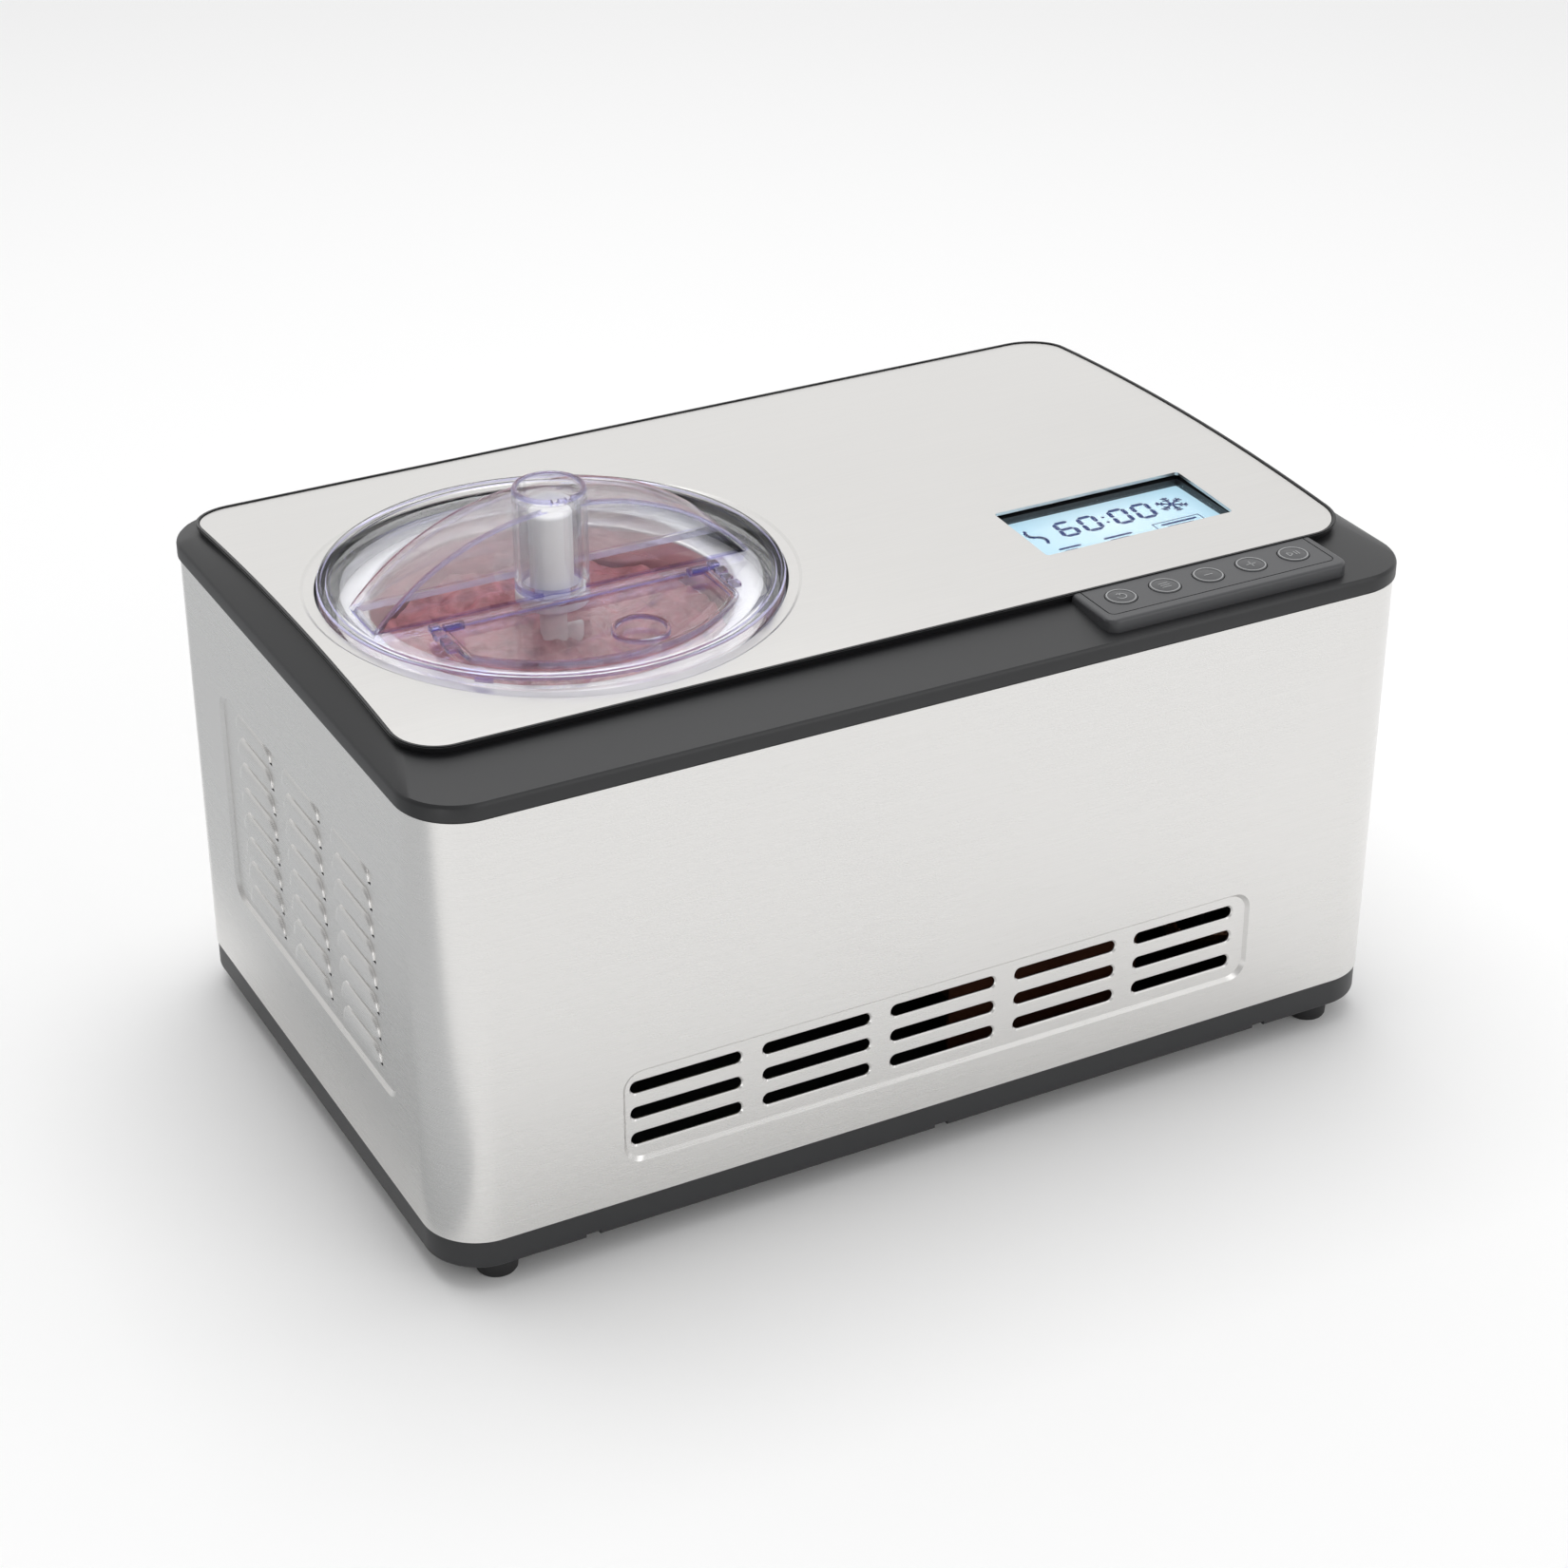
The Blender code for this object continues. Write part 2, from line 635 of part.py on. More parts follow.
def make_foam():
    return turned(
        "foam_insulation",
        [
            (FOAM_OUT, LIP_Z - GAP),
            (FOAM_OUT, FOAM_BOTTOM),
            (SEAL_R + 0.003, FOAM_BOTTOM),
            (SEAL_R + 0.003, FOAM_TOP_OF_FLOOR),
            (FOAM_IN, FOAM_TOP_OF_FLOOR),
            (FOAM_IN, LIP_Z - GAP),
        ],
        "foam",
    )


def make_shaft_seal():
    top = WELL_BOTTOM + 0.005
    bore = SHAFT_R + RUN
    profile = [(SEAL_R, top), (SEAL_R, GEAR_TOP + GAP), (bore, GEAR_TOP + GAP), (bore, top)]
    return turned("shaft_seal", profile, "rubber", steps=COARSE_TURN)


def make_drive_shaft():
    low = GEAR_TOP - SHAFT_IN_GEAR
    profile = [
        (0, SHAFT_TOP),
        (SHAFT_R - 0.001, SHAFT_TOP),
        (SHAFT_R, SHAFT_TOP - 0.001),
        (SHAFT_R, low),
        (0, low),
    ]
    return turned("drive_shaft", profile, "machine_steel", closed=False, steps=COARSE_TURN)


def make_paddle():
    """Sleeve, stem, collar and spigot in one turned piece, with two blades joined to it."""
    sleeve_in = CHIMNEY_R + BOWL_T + RUN
    sleeve_out = sleeve_in + 0.003
    socket = SHAFT_R + RUN
    low = BOWL_BOTTOM + BOWL_T + 0.002
    shoulder = CHIMNEY_TOP + 0.002
    collar_top = HUB_LOW - RUN
    spigot_top = HUB_TOP - 0.010
    paddle = turned(
        "paddle",
        [
            (0, spigot_top),
            (SPIGOT_R - 0.001, spigot_top),
            (SPIGOT_R, spigot_top - 0.001),
            (SPIGOT_R, collar_top),
            (COLLAR_R, collar_top),
            (COLLAR_R, collar_top - COLLAR_H),
            (STEM_R, collar_top - COLLAR_H),
            (STEM_R, SHAFT_TOP + 0.010),
            (sleeve_out, SHAFT_TOP),
            (sleeve_out, low),
            (sleeve_in, low),
            (sleeve_in, shoulder),
            (socket, shoulder),
            (socket, SHAFT_TOP + RUN),
            (0, SHAFT_TOP + RUN),
        ],
        "white_plastic",
        closed=False,
        steps=COARSE_TURN,
    )
    for name, side in (("right_blade", 1), ("left_blade", -1)):
        boolean(paddle, name, blade(side, sleeve_out, low), "UNION")
    return paddle


def blade(side, root, low):
    """One blade: a tall plate whose top falls from the stem to its scraping edge."""
    tip = BOWL_R - BLADE_CLEAR
    high = BLADE_TOP
    mesh = box((BOWL_X + root - 0.001, -BLADE_T / 2, low), (BOWL_X + tip, BLADE_T / 2, high))
    slope = Vector((high - low, 0, 1.9 * (tip - root)))
    heel = (BOWL_X + BOWL_R - BOWL_HEEL - BLADE_CLEAR, 0, low)
    mesh = clip(mesh, [((BOWL_X + root + 0.004, 0, high), slope), (heel, Vector((1, 0, -1)))])
    if side < 0:
        flip = Matrix.Translation((2 * BOWL_X, 0, 0)) @ Matrix.Scale(-1, 4, (1, 0, 0))
        mesh.transform(flip)
        mesh.flip_normals()
    return mesh


def arch_block(radius, width, floor):
    """The part of a lying cylinder that stands above a floor: the handle's arch."""
    start = (BOWL_X, -width / 2, HANDLE_CENTRE_Z)
    end = (BOWL_X, width / 2, HANDLE_CENTRE_Z)
    mesh = cylinder(radius, start, end, 96)
    return clip(mesh, [((0, 0, floor), (0, 0, -1))])


def hatch_block(spare, low, high):
    """The hatch's outline, a disc with a straight back and straight sides, between two heights."""
    mesh = upright(HATCH_R + spare, low, high, FINE_TURN)
    half = HATCH_HALF + spare
    planes = [
        ((0, -HATCH_BACK + spare, 0), (0, 1, 0)),
        ((BOWL_X + half, 0, 0), (1, 0, 0)),
        ((BOWL_X - half, 0, 0), (-1, 0, 0)),
    ]
    return clip(mesh, planes)


def make_lid():
    """The clear lid: rim and panel, the hollow arched handle, the hub and the hatch's hinge lugs."""
    lid = turned(
        "lid",
        [
            (0, PANEL_TOP),
            (SKIRT_IN - 0.002, PANEL_TOP),
            (SKIRT_IN, RIM_TOP),
            (LID_R - 0.0008, RIM_TOP),
            (LID_R, RIM_TOP - 0.0008),
            (LID_R, DECK_TOP + GAP),
            (LID_R - LID_SKIRT_T, DECK_TOP + GAP),
            (LID_R - LID_SKIRT_T, PANEL_LOW),
            (0, PANEL_LOW),
        ],
        "clear_plastic",
        closed=False,
        steps=FINE_TURN,
    )
    boolean(lid, "handle", arch_block(HANDLE_RADIUS, HANDLE_W, PANEL_TOP - 0.001), "UNION")
    hollow = arch_block(HANDLE_RADIUS - HANDLE_T, HANDLE_W - 2 * HANDLE_T, PANEL_LOW - 0.003)
    boolean(lid, "handle_hollow", hollow)
    boolean(lid, "hatch_opening", hatch_block(RUN, PANEL_LOW - 0.01, PANEL_TOP + 0.002))
    boolean(lid, "hub", upright(HUB_R, HUB_LOW, HUB_TOP, 32), "UNION")
    cap = HUB_TOP - 0.006
    boolean(lid, "hub_bore", upright(HUB_R - HUB_T, PANEL_LOW - 0.01, cap, 32))
    boolean(lid, "hub_dish", upright(HUB_R - HUB_T, cap + 0.002, HUB_TOP + 0.01, 32))
    for name, side in (("right_lug", 1), ("left_lug", -1)):
        near, far = HATCH_HALF + 2 * RUN, HATCH_HALF + 2 * RUN + HINGE_LUG
        xs = sorted((BOWL_X + side * near, BOWL_X + side * far))
        low = (xs[0], HINGE_Y - 0.003, PANEL_TOP - 0.001)
        high = (xs[1], HINGE_Y + 0.003, HINGE_Z + HINGE_BARREL_R)
        boolean(lid, name, box(low, high), "UNION")
        start = (xs[0] - 0.001, HINGE_Y, HINGE_Z)
        end = (xs[1] + 0.001, HINGE_Y, HINGE_Z)
        boolean(lid, name + "_bore", cylinder(HINGE_PIN_R + GAP, start, end, 12))
    return lid


def make_hatch():
    """The filler flap, with a barrel at each end of its back edge and a finger tab in front."""
    high = PANEL_TOP - 0.0002
    mesh = hatch_block(0, high - HATCH_T, high)
    origin = (BOWL_X, HINGE_Y, HINGE_Z)
    hatch = add_part("filler_hatch", mesh, "clear_plastic", origin)
    tab_y = -HATCH_R + TAB_R
    tab = cylinder(TAB_R, (BOWL_X, tab_y, high - 0.001), (BOWL_X, tab_y, high + 0.0015))
    boolean(hatch, "tab", tab, "UNION")
    for name, side in (("right", 1), ("left", -1)):
        inner, outer = side * (HATCH_HALF - 0.008), side * (HATCH_HALF - GAP)
        start = (BOWL_X + inner, HINGE_Y, HINGE_Z)
        end = (BOWL_X + outer, HINGE_Y, HINGE_Z)
        boolean(hatch, name + "_barrel", cylinder(HINGE_BARREL_R, start, end, 16), "UNION")
        start = (BOWL_X + inner + side * 0.001, HINGE_Y, HINGE_Z)
        end = (BOWL_X + outer + side * 0.001, HINGE_Y, HINGE_Z)
        boolean(hatch, name + "_bore", cylinder(HINGE_PIN_R + GAP, start, end, 12))
        far = side * (HATCH_HALF + 2 * RUN + HINGE_LUG - GAP)
        start = (BOWL_X + inner + side * 0.0015, HINGE_Y, HINGE_Z)
        pin = cylinder(HINGE_PIN_R, start, (BOWL_X + far, HINGE_Y, HINGE_Z), 12)
        add_part(f"hatch_pin_{name}", pin, "clear_plastic", origin)
    return hatch


# ---- Controls -----------------------------------------------------------------------------------
def screen_field(spare):
    """Low and high corners of the screen's window in plan, with a margin."""
    x = BODY_W / 2 - LCD_FROM_RIGHT
    y = -BODY_D / 2 + LCD_FROM_FRONT
    half_w, half_d = LCD_W / 2 + spare, LCD_D / 2 + spare
    return (x - half_w, y - half_d), (x + half_w, y + half_d)


def key_places():
    centre = BODY_W / 2 - PAD_FROM_RIGHT - PAD_W / 2
    y = PLATE_FRONT - PAD_D / 2
    return [(centre + x, y) for x in spread(KEY_COUNT, KEY_PITCH)]


def key_field(margin):
    """Low and high corners, in plan, of the area that holds the keys."""
    places = key_places()
    reach = KEY_R + margin / 2
    return (
        (places[0][0] - reach, places[0][1] - reach),
        (places[-1][0] + reach, places[-1][1] + reach),
    )


def make_screen():
    low, high = screen_field(0)
    glass = plate_z(high[1]) - LCD_SINK
    outer_low, outer_high = screen_field(BEZEL_T)
    bezel_top = plate_z(outer_low[1]) - PLATE_T - GAP
    floor = DECK_TOP + GAP
    bezel = add_part("screen_bezel", box((*outer_low, floor), (*outer_high, bezel_top)), "black_paint")
    boolean(bezel, "window", box((*low, floor - 0.01), (*high, bezel_top + 0.01)))
    low, high = screen_field(-GAP)
    module_top = glass - LENS_T - GAP
    add_part("screen_module", box((*low, floor), (*high, module_top), 0.001, 2), "screen")
    add_part("screen_lens", box((*low, glass - LENS_T), (*high, glass), 0.001, 2), "clear_plastic")


def make_pad():
    """The control pad: a wedge on the fascia with a level top and a sloping nose."""
    right = BODY_W / 2 - PAD_FROM_RIGHT
    back = PLATE_FRONT - 2 * GAP
    front = PLATE_FRONT - PAD_D - PAD_NOSE
    top = plate_z(PLATE_FRONT)
    mesh = box((right - PAD_W, front, fascia_z(front) - 0.002), (right, back, top))
    planes = [
        ((0, back, fascia_z(back) + GAP), (0, FASCIA_RISE, -FASCIA_FRONT)),
        ((0, PLATE_FRONT - PAD_D, top), (0, -0.8, 1.0)),
    ]
    pad = add_part("control_pad", clip(mesh, planes), "pad_plastic")
    bores = [
        cylinder(KEY_R + GAP, (x, y, top - 0.02), (x, y, top + 0.01)) for x, y in key_places()
    ]
    boolean(pad, "key_bores", merge(bores))
    return pad


KEY_NAMES = ("power", "menu", "minus", "plus", "start")


def make_keys():
    top = plate_z(PLATE_FRONT) + GAP
    for name, (x, y) in zip(KEY_NAMES, key_places()):
        mesh = cylinder(KEY_R, (x, y, top - KEY_H), (x, y, top))
        add_part(f"key_{name}", mesh, "pad_plastic", (x, y, top))


def make_control_board():
    low, high = key_field(0)
    z = DECK_TOP + GAP
    board = add_part("control_board", box((*low, z), (*high, z + BOARD_T)), "board")
    switch_top = plate_z(PLATE_FRONT) + GAP - KEY_H - 0.0008
    for name, (x, y) in zip(KEY_NAMES, key_places()):
        half = Vector((0.003, 0.003))
        place = Vector((x, y))
        mesh = box((*(place - half), z + BOARD_T / 2), (*(place + half), switch_top))
        boolean(board, f"switch_{name}", mesh, "UNION")


# ---- Drive --------------------------------------------------------------------------------------
def make_gear_motor():
    low = (BOWL_X - GEAR_W / 2, -GEAR_D / 2, GEAR_BOTTOM)
    high = (BOWL_X + GEAR_W / 2, GEAR_D / 2, GEAR_TOP)
    gear = add_part("gear_housing", box(low, high, 0.006, 3), "machine_steel")
    bore_low = GEAR_TOP - SHAFT_IN_GEAR - RUN
    boolean(gear, "shaft_bore", upright(SHAFT_R + RUN, bore_low, GEAR_TOP + 0.01))
    z = (GEAR_TOP + GEAR_BOTTOM) / 2
    near = GEAR_D / 2 + GAP
    far = near + MOTOR_L
    can = cylinder(MOTOR_R, (BOWL_X, near, z), (BOWL_X, far, z))
    motor = add_part("drive_motor", can, "black_paint")
    cap = cylinder(MOTOR_R * 0.45, (BOWL_X, far - 0.001, z), (BOWL_X, far + 0.006, z))
    boolean(motor, "end_bearing", cap, "UNION")


def make_motor_bracket():
    """A bent steel bridge that holds the gear housing off the tray's floor."""
    low = (BOWL_X - GEAR_W / 2 - 0.004, -GEAR_D / 2, FLOOR_TOP)
    high = (BOWL_X + GEAR_W / 2 + 0.004, GEAR_D / 2, GEAR_BOTTOM - GAP)
    mesh = box(low, high, drop=[(0, 0, -1), (0, 1, 0), (0, -1, 0)])
    bracket = add_part("motor_bracket", mesh, "machine_steel")
    solidify(bracket, BRACKET_T)


# ---- Refrigeration ------------------------------------------------------------------------------
CONDENSER_RIGHT = BODY_W / 2 - CONDENSER_FROM_RIGHT
FAN_RIGHT = CONDENSER_RIGHT - CONDENSER_T - FAN_FROM_CONDENSER
FAN_LEFT = FAN_RIGHT - FAN_T
COMPRESSOR_X = (BOWL_X + FOAM_OUT + FAN_LEFT) / 2
COMPRESSOR_LOW = FLOOR_TOP + GROMMET_H + GAP + MOUNT_PLATE_T + GAP
COMPRESSOR_TOP = COMPRESSOR_LOW + COMPRESSOR_H
STUB_OUT = 0.022
STUB_TOP = COMPRESSOR_TOP + 0.008
HEADER_X = CONDENSER_RIGHT - CONDENSER_T / 2
HEADER_Y = CONDENSER_W / 2 + 0.008


def make_compressor():
    r, low, top = COMPRESSOR_R, COMPRESSOR_LOW, COMPRESSOR_TOP
    profile = [
        (0, top),
        (r * 0.55, top - 0.003),
        (r * 0.88, top - 0.012),
        (r, top - 0.028),
        (r, low + 0.020),
        (r * 0.85, low + 0.005),
        (r * 0.6, low),
        (0, low),
    ]
    shell = turned("compressor", profile, "black_paint", closed=False, steps=32)
    shell.location = (COMPRESSOR_X, COMPRESSOR_Y, 0)
    for name, side in (("discharge_stub", 1), ("suction_stub", -1)):
        x = COMPRESSOR_X + side * STUB_OUT
        stub = cylinder(LINE_R + 0.001, (x, COMPRESSOR_Y, top - 0.010), (x, COMPRESSOR_Y, STUB_TOP), 12)
        boolean(shell, name, stub, "UNION")


def make_compressor_mounts():
    z = FLOOR_TOP + GROMMET_H + GAP
    half = Vector((COMPRESSOR_R * 1.08, COMPRESSOR_R * 0.9))
    centre = Vector((COMPRESSOR_X, COMPRESSOR_Y))
    mesh = box((*(centre - half), z), (*(centre + half), z + MOUNT_PLATE_T), 0.010, 4)
    add_part("compressor_plate", mesh, "machine_steel")
    number = 0
    for across in (-1, 1):
        for along in (-1, 1):
            number += 1
            x = COMPRESSOR_X + across * (half.x - GROMMET_R - 0.001)
            y = COMPRESSOR_Y + along * (half.y - GROMMET_R - 0.001)
            mesh = cylinder(GROMMET_R, (x, y, FLOOR_TOP), (x, y, z - GAP), 16)
            add_part(f"compressor_grommet_{number}", mesh, "rubber")


def make_condenser():
    """The finned condenser block, with the two ends of its tube."""
    low = Vector((CONDENSER_RIGHT - CONDENSER_T, -CONDENSER_W / 2, FLOOR_TOP))
    high = Vector((CONDENSER_RIGHT, CONDENSER_W / 2, FLOOR_TOP + CONDENSER_H))
    block = add_part("condenser", box(low, high), "bare_aluminium")
    pitch = CONDENSER_W / CONDENSER_FINS
    grooves = []
    for y in spread(CONDENSER_FINS, pitch):
        for x0, x1 in ((low.x - 0.001, low.x + 0.010), (high.x - 0.010, high.x + 0.001)):
            near = (x0, y - pitch * 0.3, low.z + 0.004)
            grooves.append(box(near, (x1, y + pitch * 0.3, high.z - 0.004)))
    boolean(block, "grooves", merge(grooves))
    for name, side, z in (("inlet", 1, high.z - 0.012), ("outlet", -1, low.z + 0.012)):
        start = (HEADER_X, side * (CONDENSER_W / 2 - 0.004), z)
        stub = cylinder(LINE_R + 0.0005, start, (HEADER_X, side * HEADER_Y, z), 12)
        boolean(block, name, stub, "UNION")


def fan_centre(x):
    return Vector((x, 0, FLOOR_TOP + CONDENSER_H / 2))


def make_fan():
    """The fan: a square frame whose spokes hold the motor, and the rotor in front of it."""
    half = CONDENSER_H / 2
    ring_r = half - 0.004
    hub_r = 0.017
    centre = fan_centre(FAN_LEFT + FAN_T / 2)
    reach = Vector((FAN_T / 2, half, half))
    frame = add_part("fan_frame", box(centre - reach, centre + reach, 0.008, 3, axis=0), "black_paint")
    out = Vector((0.01, 0, 0))
    near, far = fan_centre(FAN_LEFT), fan_centre(FAN_RIGHT)
    boolean(frame, "air_way", cylinder(ring_r, near - out, far + out, TURN))
    for number in range(2):
        spoke = Vector((0.002, ring_r + 0.002, 0.003) if number else (0.002, 0.003, ring_r + 0.002))
        middle = fan_centre(FAN_RIGHT - 0.0025)
        boolean(frame, f"spoke_{number}", box(middle - spoke, middle + spoke), "UNION")
    plate = cylinder(hub_r, fan_centre(FAN_RIGHT - 0.0045), fan_centre(FAN_RIGHT - 0.0005))
    boolean(frame, "motor_plate", plate, "UNION")
    hub_near, hub_far = fan_centre(FAN_LEFT + 0.001), fan_centre(FAN_RIGHT - 0.0045 - RUN)
    hub = cylinder(hub_r, hub_near, hub_far)
    rotor = add_part("fan_rotor", hub, "black_paint", tuple(fan_centre(FAN_LEFT + 0.001)))
    middle = (hub_near + hub_far) / 2
    for number in range(FAN_BLADES):
        low = Vector((-FAN_BLADE_T / 2, -FAN_CHORD / 2, hub_r - 0.003))
        high = Vector((FAN_BLADE_T / 2, FAN_CHORD / 2, ring_r - 0.003))
        mesh = box(low, high)
        twist = Matrix.Rotation(math.radians(FAN_TILT), 4, "Z")
        turn = Matrix.Rotation(math.tau * number / FAN_BLADES, 4, "X")
        mesh.transform(Matrix.Translation(middle) @ turn @ twist)
        boolean(rotor, f"blade_{number}", mesh, "UNION")


def make_lines():
    """The drier and the tubes of the cooling circuit. Each ends face to face with what it joins."""
    drier_x, drier_y = FAN_LEFT - 0.016, -CONDENSER_W / 2 - 0.028
    drier_low = FLOOR_TOP + 0.045
    drier_top = drier_low + DRIER_L
    mesh = cylinder(DRIER_R, (drier_x, drier_y, drier_low), (drier_x, drier_y, drier_top))
    add_part("filter_drier", mesh, "copper")
    inlet_z = FLOOR_TOP + CONDENSER_H - 0.012
    outlet_z = FLOOR_TOP + 0.012
    foam_x = BOWL_X + FOAM_OUT + 2 * GAP
    stub_x = COMPRESSOR_X + STUB_OUT
    y = COMPRESSOR_Y
    discharge = [
        (stub_x, y, STUB_TOP + GAP),
        (stub_x, y, STUB_TOP + 0.012),
        (stub_x + 0.018, y + 0.022, STUB_TOP + 0.022),
        (FAN_RIGHT - 0.010, CONDENSER_W / 2 + 0.030, STUB_TOP + 0.010),
        (HEADER_X, HEADER_Y + 0.026, inlet_z + 0.018),
        (HEADER_X, HEADER_Y + 0.014, inlet_z),
        (HEADER_X, HEADER_Y + GAP, inlet_z),
    ]
    stub_x = COMPRESSOR_X - STUB_OUT
    suction = [
        (stub_x, y, STUB_TOP + GAP),
        (stub_x, y, STUB_TOP + 0.012),
        (stub_x - 0.008, y - 0.014, STUB_TOP + 0.024),
        (foam_x + 0.022, 0.008, STUB_TOP + 0.024),
        (foam_x + 0.010, 0, STUB_TOP + 0.022),
        (foam_x, 0, STUB_TOP + 0.022),
    ]
    liquid = [
        (HEADER_X, -HEADER_Y - GAP, outlet_z),
        (HEADER_X, -HEADER_Y - 0.010, outlet_z),
        (FAN_RIGHT, drier_y - 0.002, outlet_z + 0.004),
        (drier_x + 0.008, drier_y, outlet_z + 0.010),
        (drier_x, drier_y, outlet_z + 0.020),
        (drier_x, drier_y, drier_low - GAP),
    ]
    capillary = [
        (drier_x, drier_y, drier_top + GAP),
        (drier_x, drier_y, drier_top + 0.012),
        (drier_x - 0.030, drier_y + 0.018, drier_top + 0.030),
        (foam_x + 0.040, drier_y + 0.050, drier_top + 0.036),
        (foam_x + 0.012, 0, drier_top + 0.036),
        (foam_x, 0, drier_top + 0.036),
    ]
    tube("discharge_line", smooth_route(discharge), LINE_R, "copper")
    tube("suction_line", smooth_route(suction), LINE_R, "copper")
    tube("liquid_line", smooth_route(liquid, 3), LINE_R, "copper")
    tube("capillary_tube", smooth_route(capillary, 3), CAPILLARY_R, "copper")


# ---- Electrics ----------------------------------------------------------------------------------
def make_power_board():
    y = -BODY_D / 2 + 0.040
    x0, x1 = COMPRESSOR_X - 0.048, COMPRESSOR_X + 0.042
    z1 = FLOOR_TOP + 0.070
    board = add_part("power_board", box((x0, y, FLOOR_TOP), (x1, y + BOARD_T, z1)), "board")
    face = y + BOARD_T / 2
    core = box((x0 + 0.006, face, FLOOR_TOP + 0.020), (x0 + 0.040, face + 0.028, FLOOR_TOP + 0.052))
    boolean(board, "transformer", core, "UNION")
    for number in range(2):
        place = Vector((x1 - 0.014 - 0.020 * number, face, FLOOR_TOP + 0.040))
        can = cylinder(0.007, place, place + Vector((0, 0.022, 0)), 16)
        boolean(board, f"capacitor_{number}", can, "UNION")


def make_mains_inlet():
    """The appliance inlet in the rear wall: a shroud with three pins, behind a thin flange."""
    outside = BODY_D / 2 - STEEL_INSET
    centre = Vector((BODY_W / 2 - INLET_FROM_RIGHT, outside, WALL_Z + INLET_UP))
    depth = 0.022
    half = Vector((INLET_W / 2, 0, INLET_H / 2))
    low = centre - half - Vector((0, depth, 0))
    inlet = add_part("mains_inlet", box(low, centre + half, 0.003, 3, axis=1), "black_paint")
    wall = Vector((0.002, 0, 0.002))
    low = centre - half + wall - Vector((0, depth - 0.003, 0))
    high = centre + half - wall + Vector((0, 0.01, 0))
    boolean(inlet, "socket", box(low, high, 0.002, 2, axis=1))
    for number, x in enumerate(spread(3, 0.007)):
        pin = Vector((0.0011, 0, 0.002))
        root = centre + Vector((x, -depth + 0.002, 0.002 if number == 1 else -0.001))
        boolean(inlet, f"pin_{number}", box(root - pin, root + pin + Vector((0, 0.011, 0))), "UNION")


def build():
    make_base_tray()
    make_feet()
    make_housing()
    make_top_frame()
    make_top_plate()
    make_deck()
    make_bowl()
    make_well()
    make_coil()
    make_foam()
    make_shaft_seal()
    make_drive_shaft()
    make_paddle()
    make_lid()
    make_hatch()
    make_screen()
    make_pad()
    make_keys()
    make_control_board()
    make_gear_motor()
    make_motor_bracket()
    make_compressor()
    make_compressor_mounts()
    make_condenser()
    make_fan()
    make_lines()
    make_power_board()
    make_mains_inlet()


build()
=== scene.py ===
# %% [markdown]
# # A countertop ice cream maker
#
# The machine is a brushed steel case with a dark moulded frame round an arched steel top. A clear
# lid with an arched handle stands over the bowl on the left, and a small screen and five keys are
# on the right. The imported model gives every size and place, so it is loaded first and never moved.
# Each cell below makes one piece or one finish, and says why it is made that way.

# %% Load the fixed frame
import math
from contextlib import contextmanager

import bmesh
import bpy
from mathutils import Matrix, Vector


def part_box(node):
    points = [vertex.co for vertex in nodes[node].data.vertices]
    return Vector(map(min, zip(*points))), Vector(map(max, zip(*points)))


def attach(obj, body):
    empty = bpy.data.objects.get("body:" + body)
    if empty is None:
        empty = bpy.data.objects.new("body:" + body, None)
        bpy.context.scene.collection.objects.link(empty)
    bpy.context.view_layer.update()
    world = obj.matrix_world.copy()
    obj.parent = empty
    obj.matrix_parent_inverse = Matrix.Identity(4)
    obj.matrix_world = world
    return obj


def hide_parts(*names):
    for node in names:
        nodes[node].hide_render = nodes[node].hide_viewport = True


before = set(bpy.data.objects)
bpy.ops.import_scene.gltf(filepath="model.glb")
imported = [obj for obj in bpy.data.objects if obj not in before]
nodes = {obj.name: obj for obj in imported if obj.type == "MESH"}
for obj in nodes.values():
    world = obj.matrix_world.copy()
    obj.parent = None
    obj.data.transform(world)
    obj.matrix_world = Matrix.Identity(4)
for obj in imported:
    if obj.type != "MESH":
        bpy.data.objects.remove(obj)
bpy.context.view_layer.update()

scene = bpy.context.scene
KEYS = ("power", "menu", "minus", "plus", "start")
FEET = ("front_left", "front_right", "rear_left", "rear_right")

# %% [markdown]
# ## The camera
#
# A product picture is taken with a long lens, from above and to the left of the front. The lens
# and the place below give that view, with the picture's centre on the lens axis.

# %% Camera
CAMERA_TURN = math.radians(-28.08)
CAMERA_RISE = math.radians(29.36)
CAMERA_PLACE = Vector((-0.573, -1.075, 0.785))
FOCAL_LENGTH = 77.6
SENSOR = 36.0

camera_data = bpy.data.cameras.new("camera")
camera_data.lens = FOCAL_LENGTH
camera_data.sensor_width = SENSOR
camera = bpy.data.objects.new("camera", camera_data)
scene.collection.objects.link(camera)
camera.location = CAMERA_PLACE
flat = math.cos(CAMERA_RISE)
towards_camera = Vector(
    (math.sin(CAMERA_TURN) * flat, -math.cos(CAMERA_TURN) * flat, math.sin(CAMERA_RISE))
)
camera.rotation_mode = "QUATERNION"
camera.rotation_quaternion = (-towards_camera).to_track_quat("-Z", "Y")
scene.camera = camera

# %% [markdown]
# ## Working as by hand
#
# An operator acts on whatever is selected, so each helper first deselects everything. Edit mode is
# entered and left by one context manager, and faces or edges are picked by a test on their place.


# %% Selection and edit mode
def lone(obj):
    """Leaves one object selected and active."""
    bpy.ops.object.select_all(action="DESELECT")
    obj.select_set(True)
    bpy.context.view_layer.objects.active = obj


def settle(obj):
    """Applies an object's place, turn and size to its mesh."""
    lone(obj)
    bpy.ops.object.transform_apply(location=True, rotation=True, scale=True)
    return obj


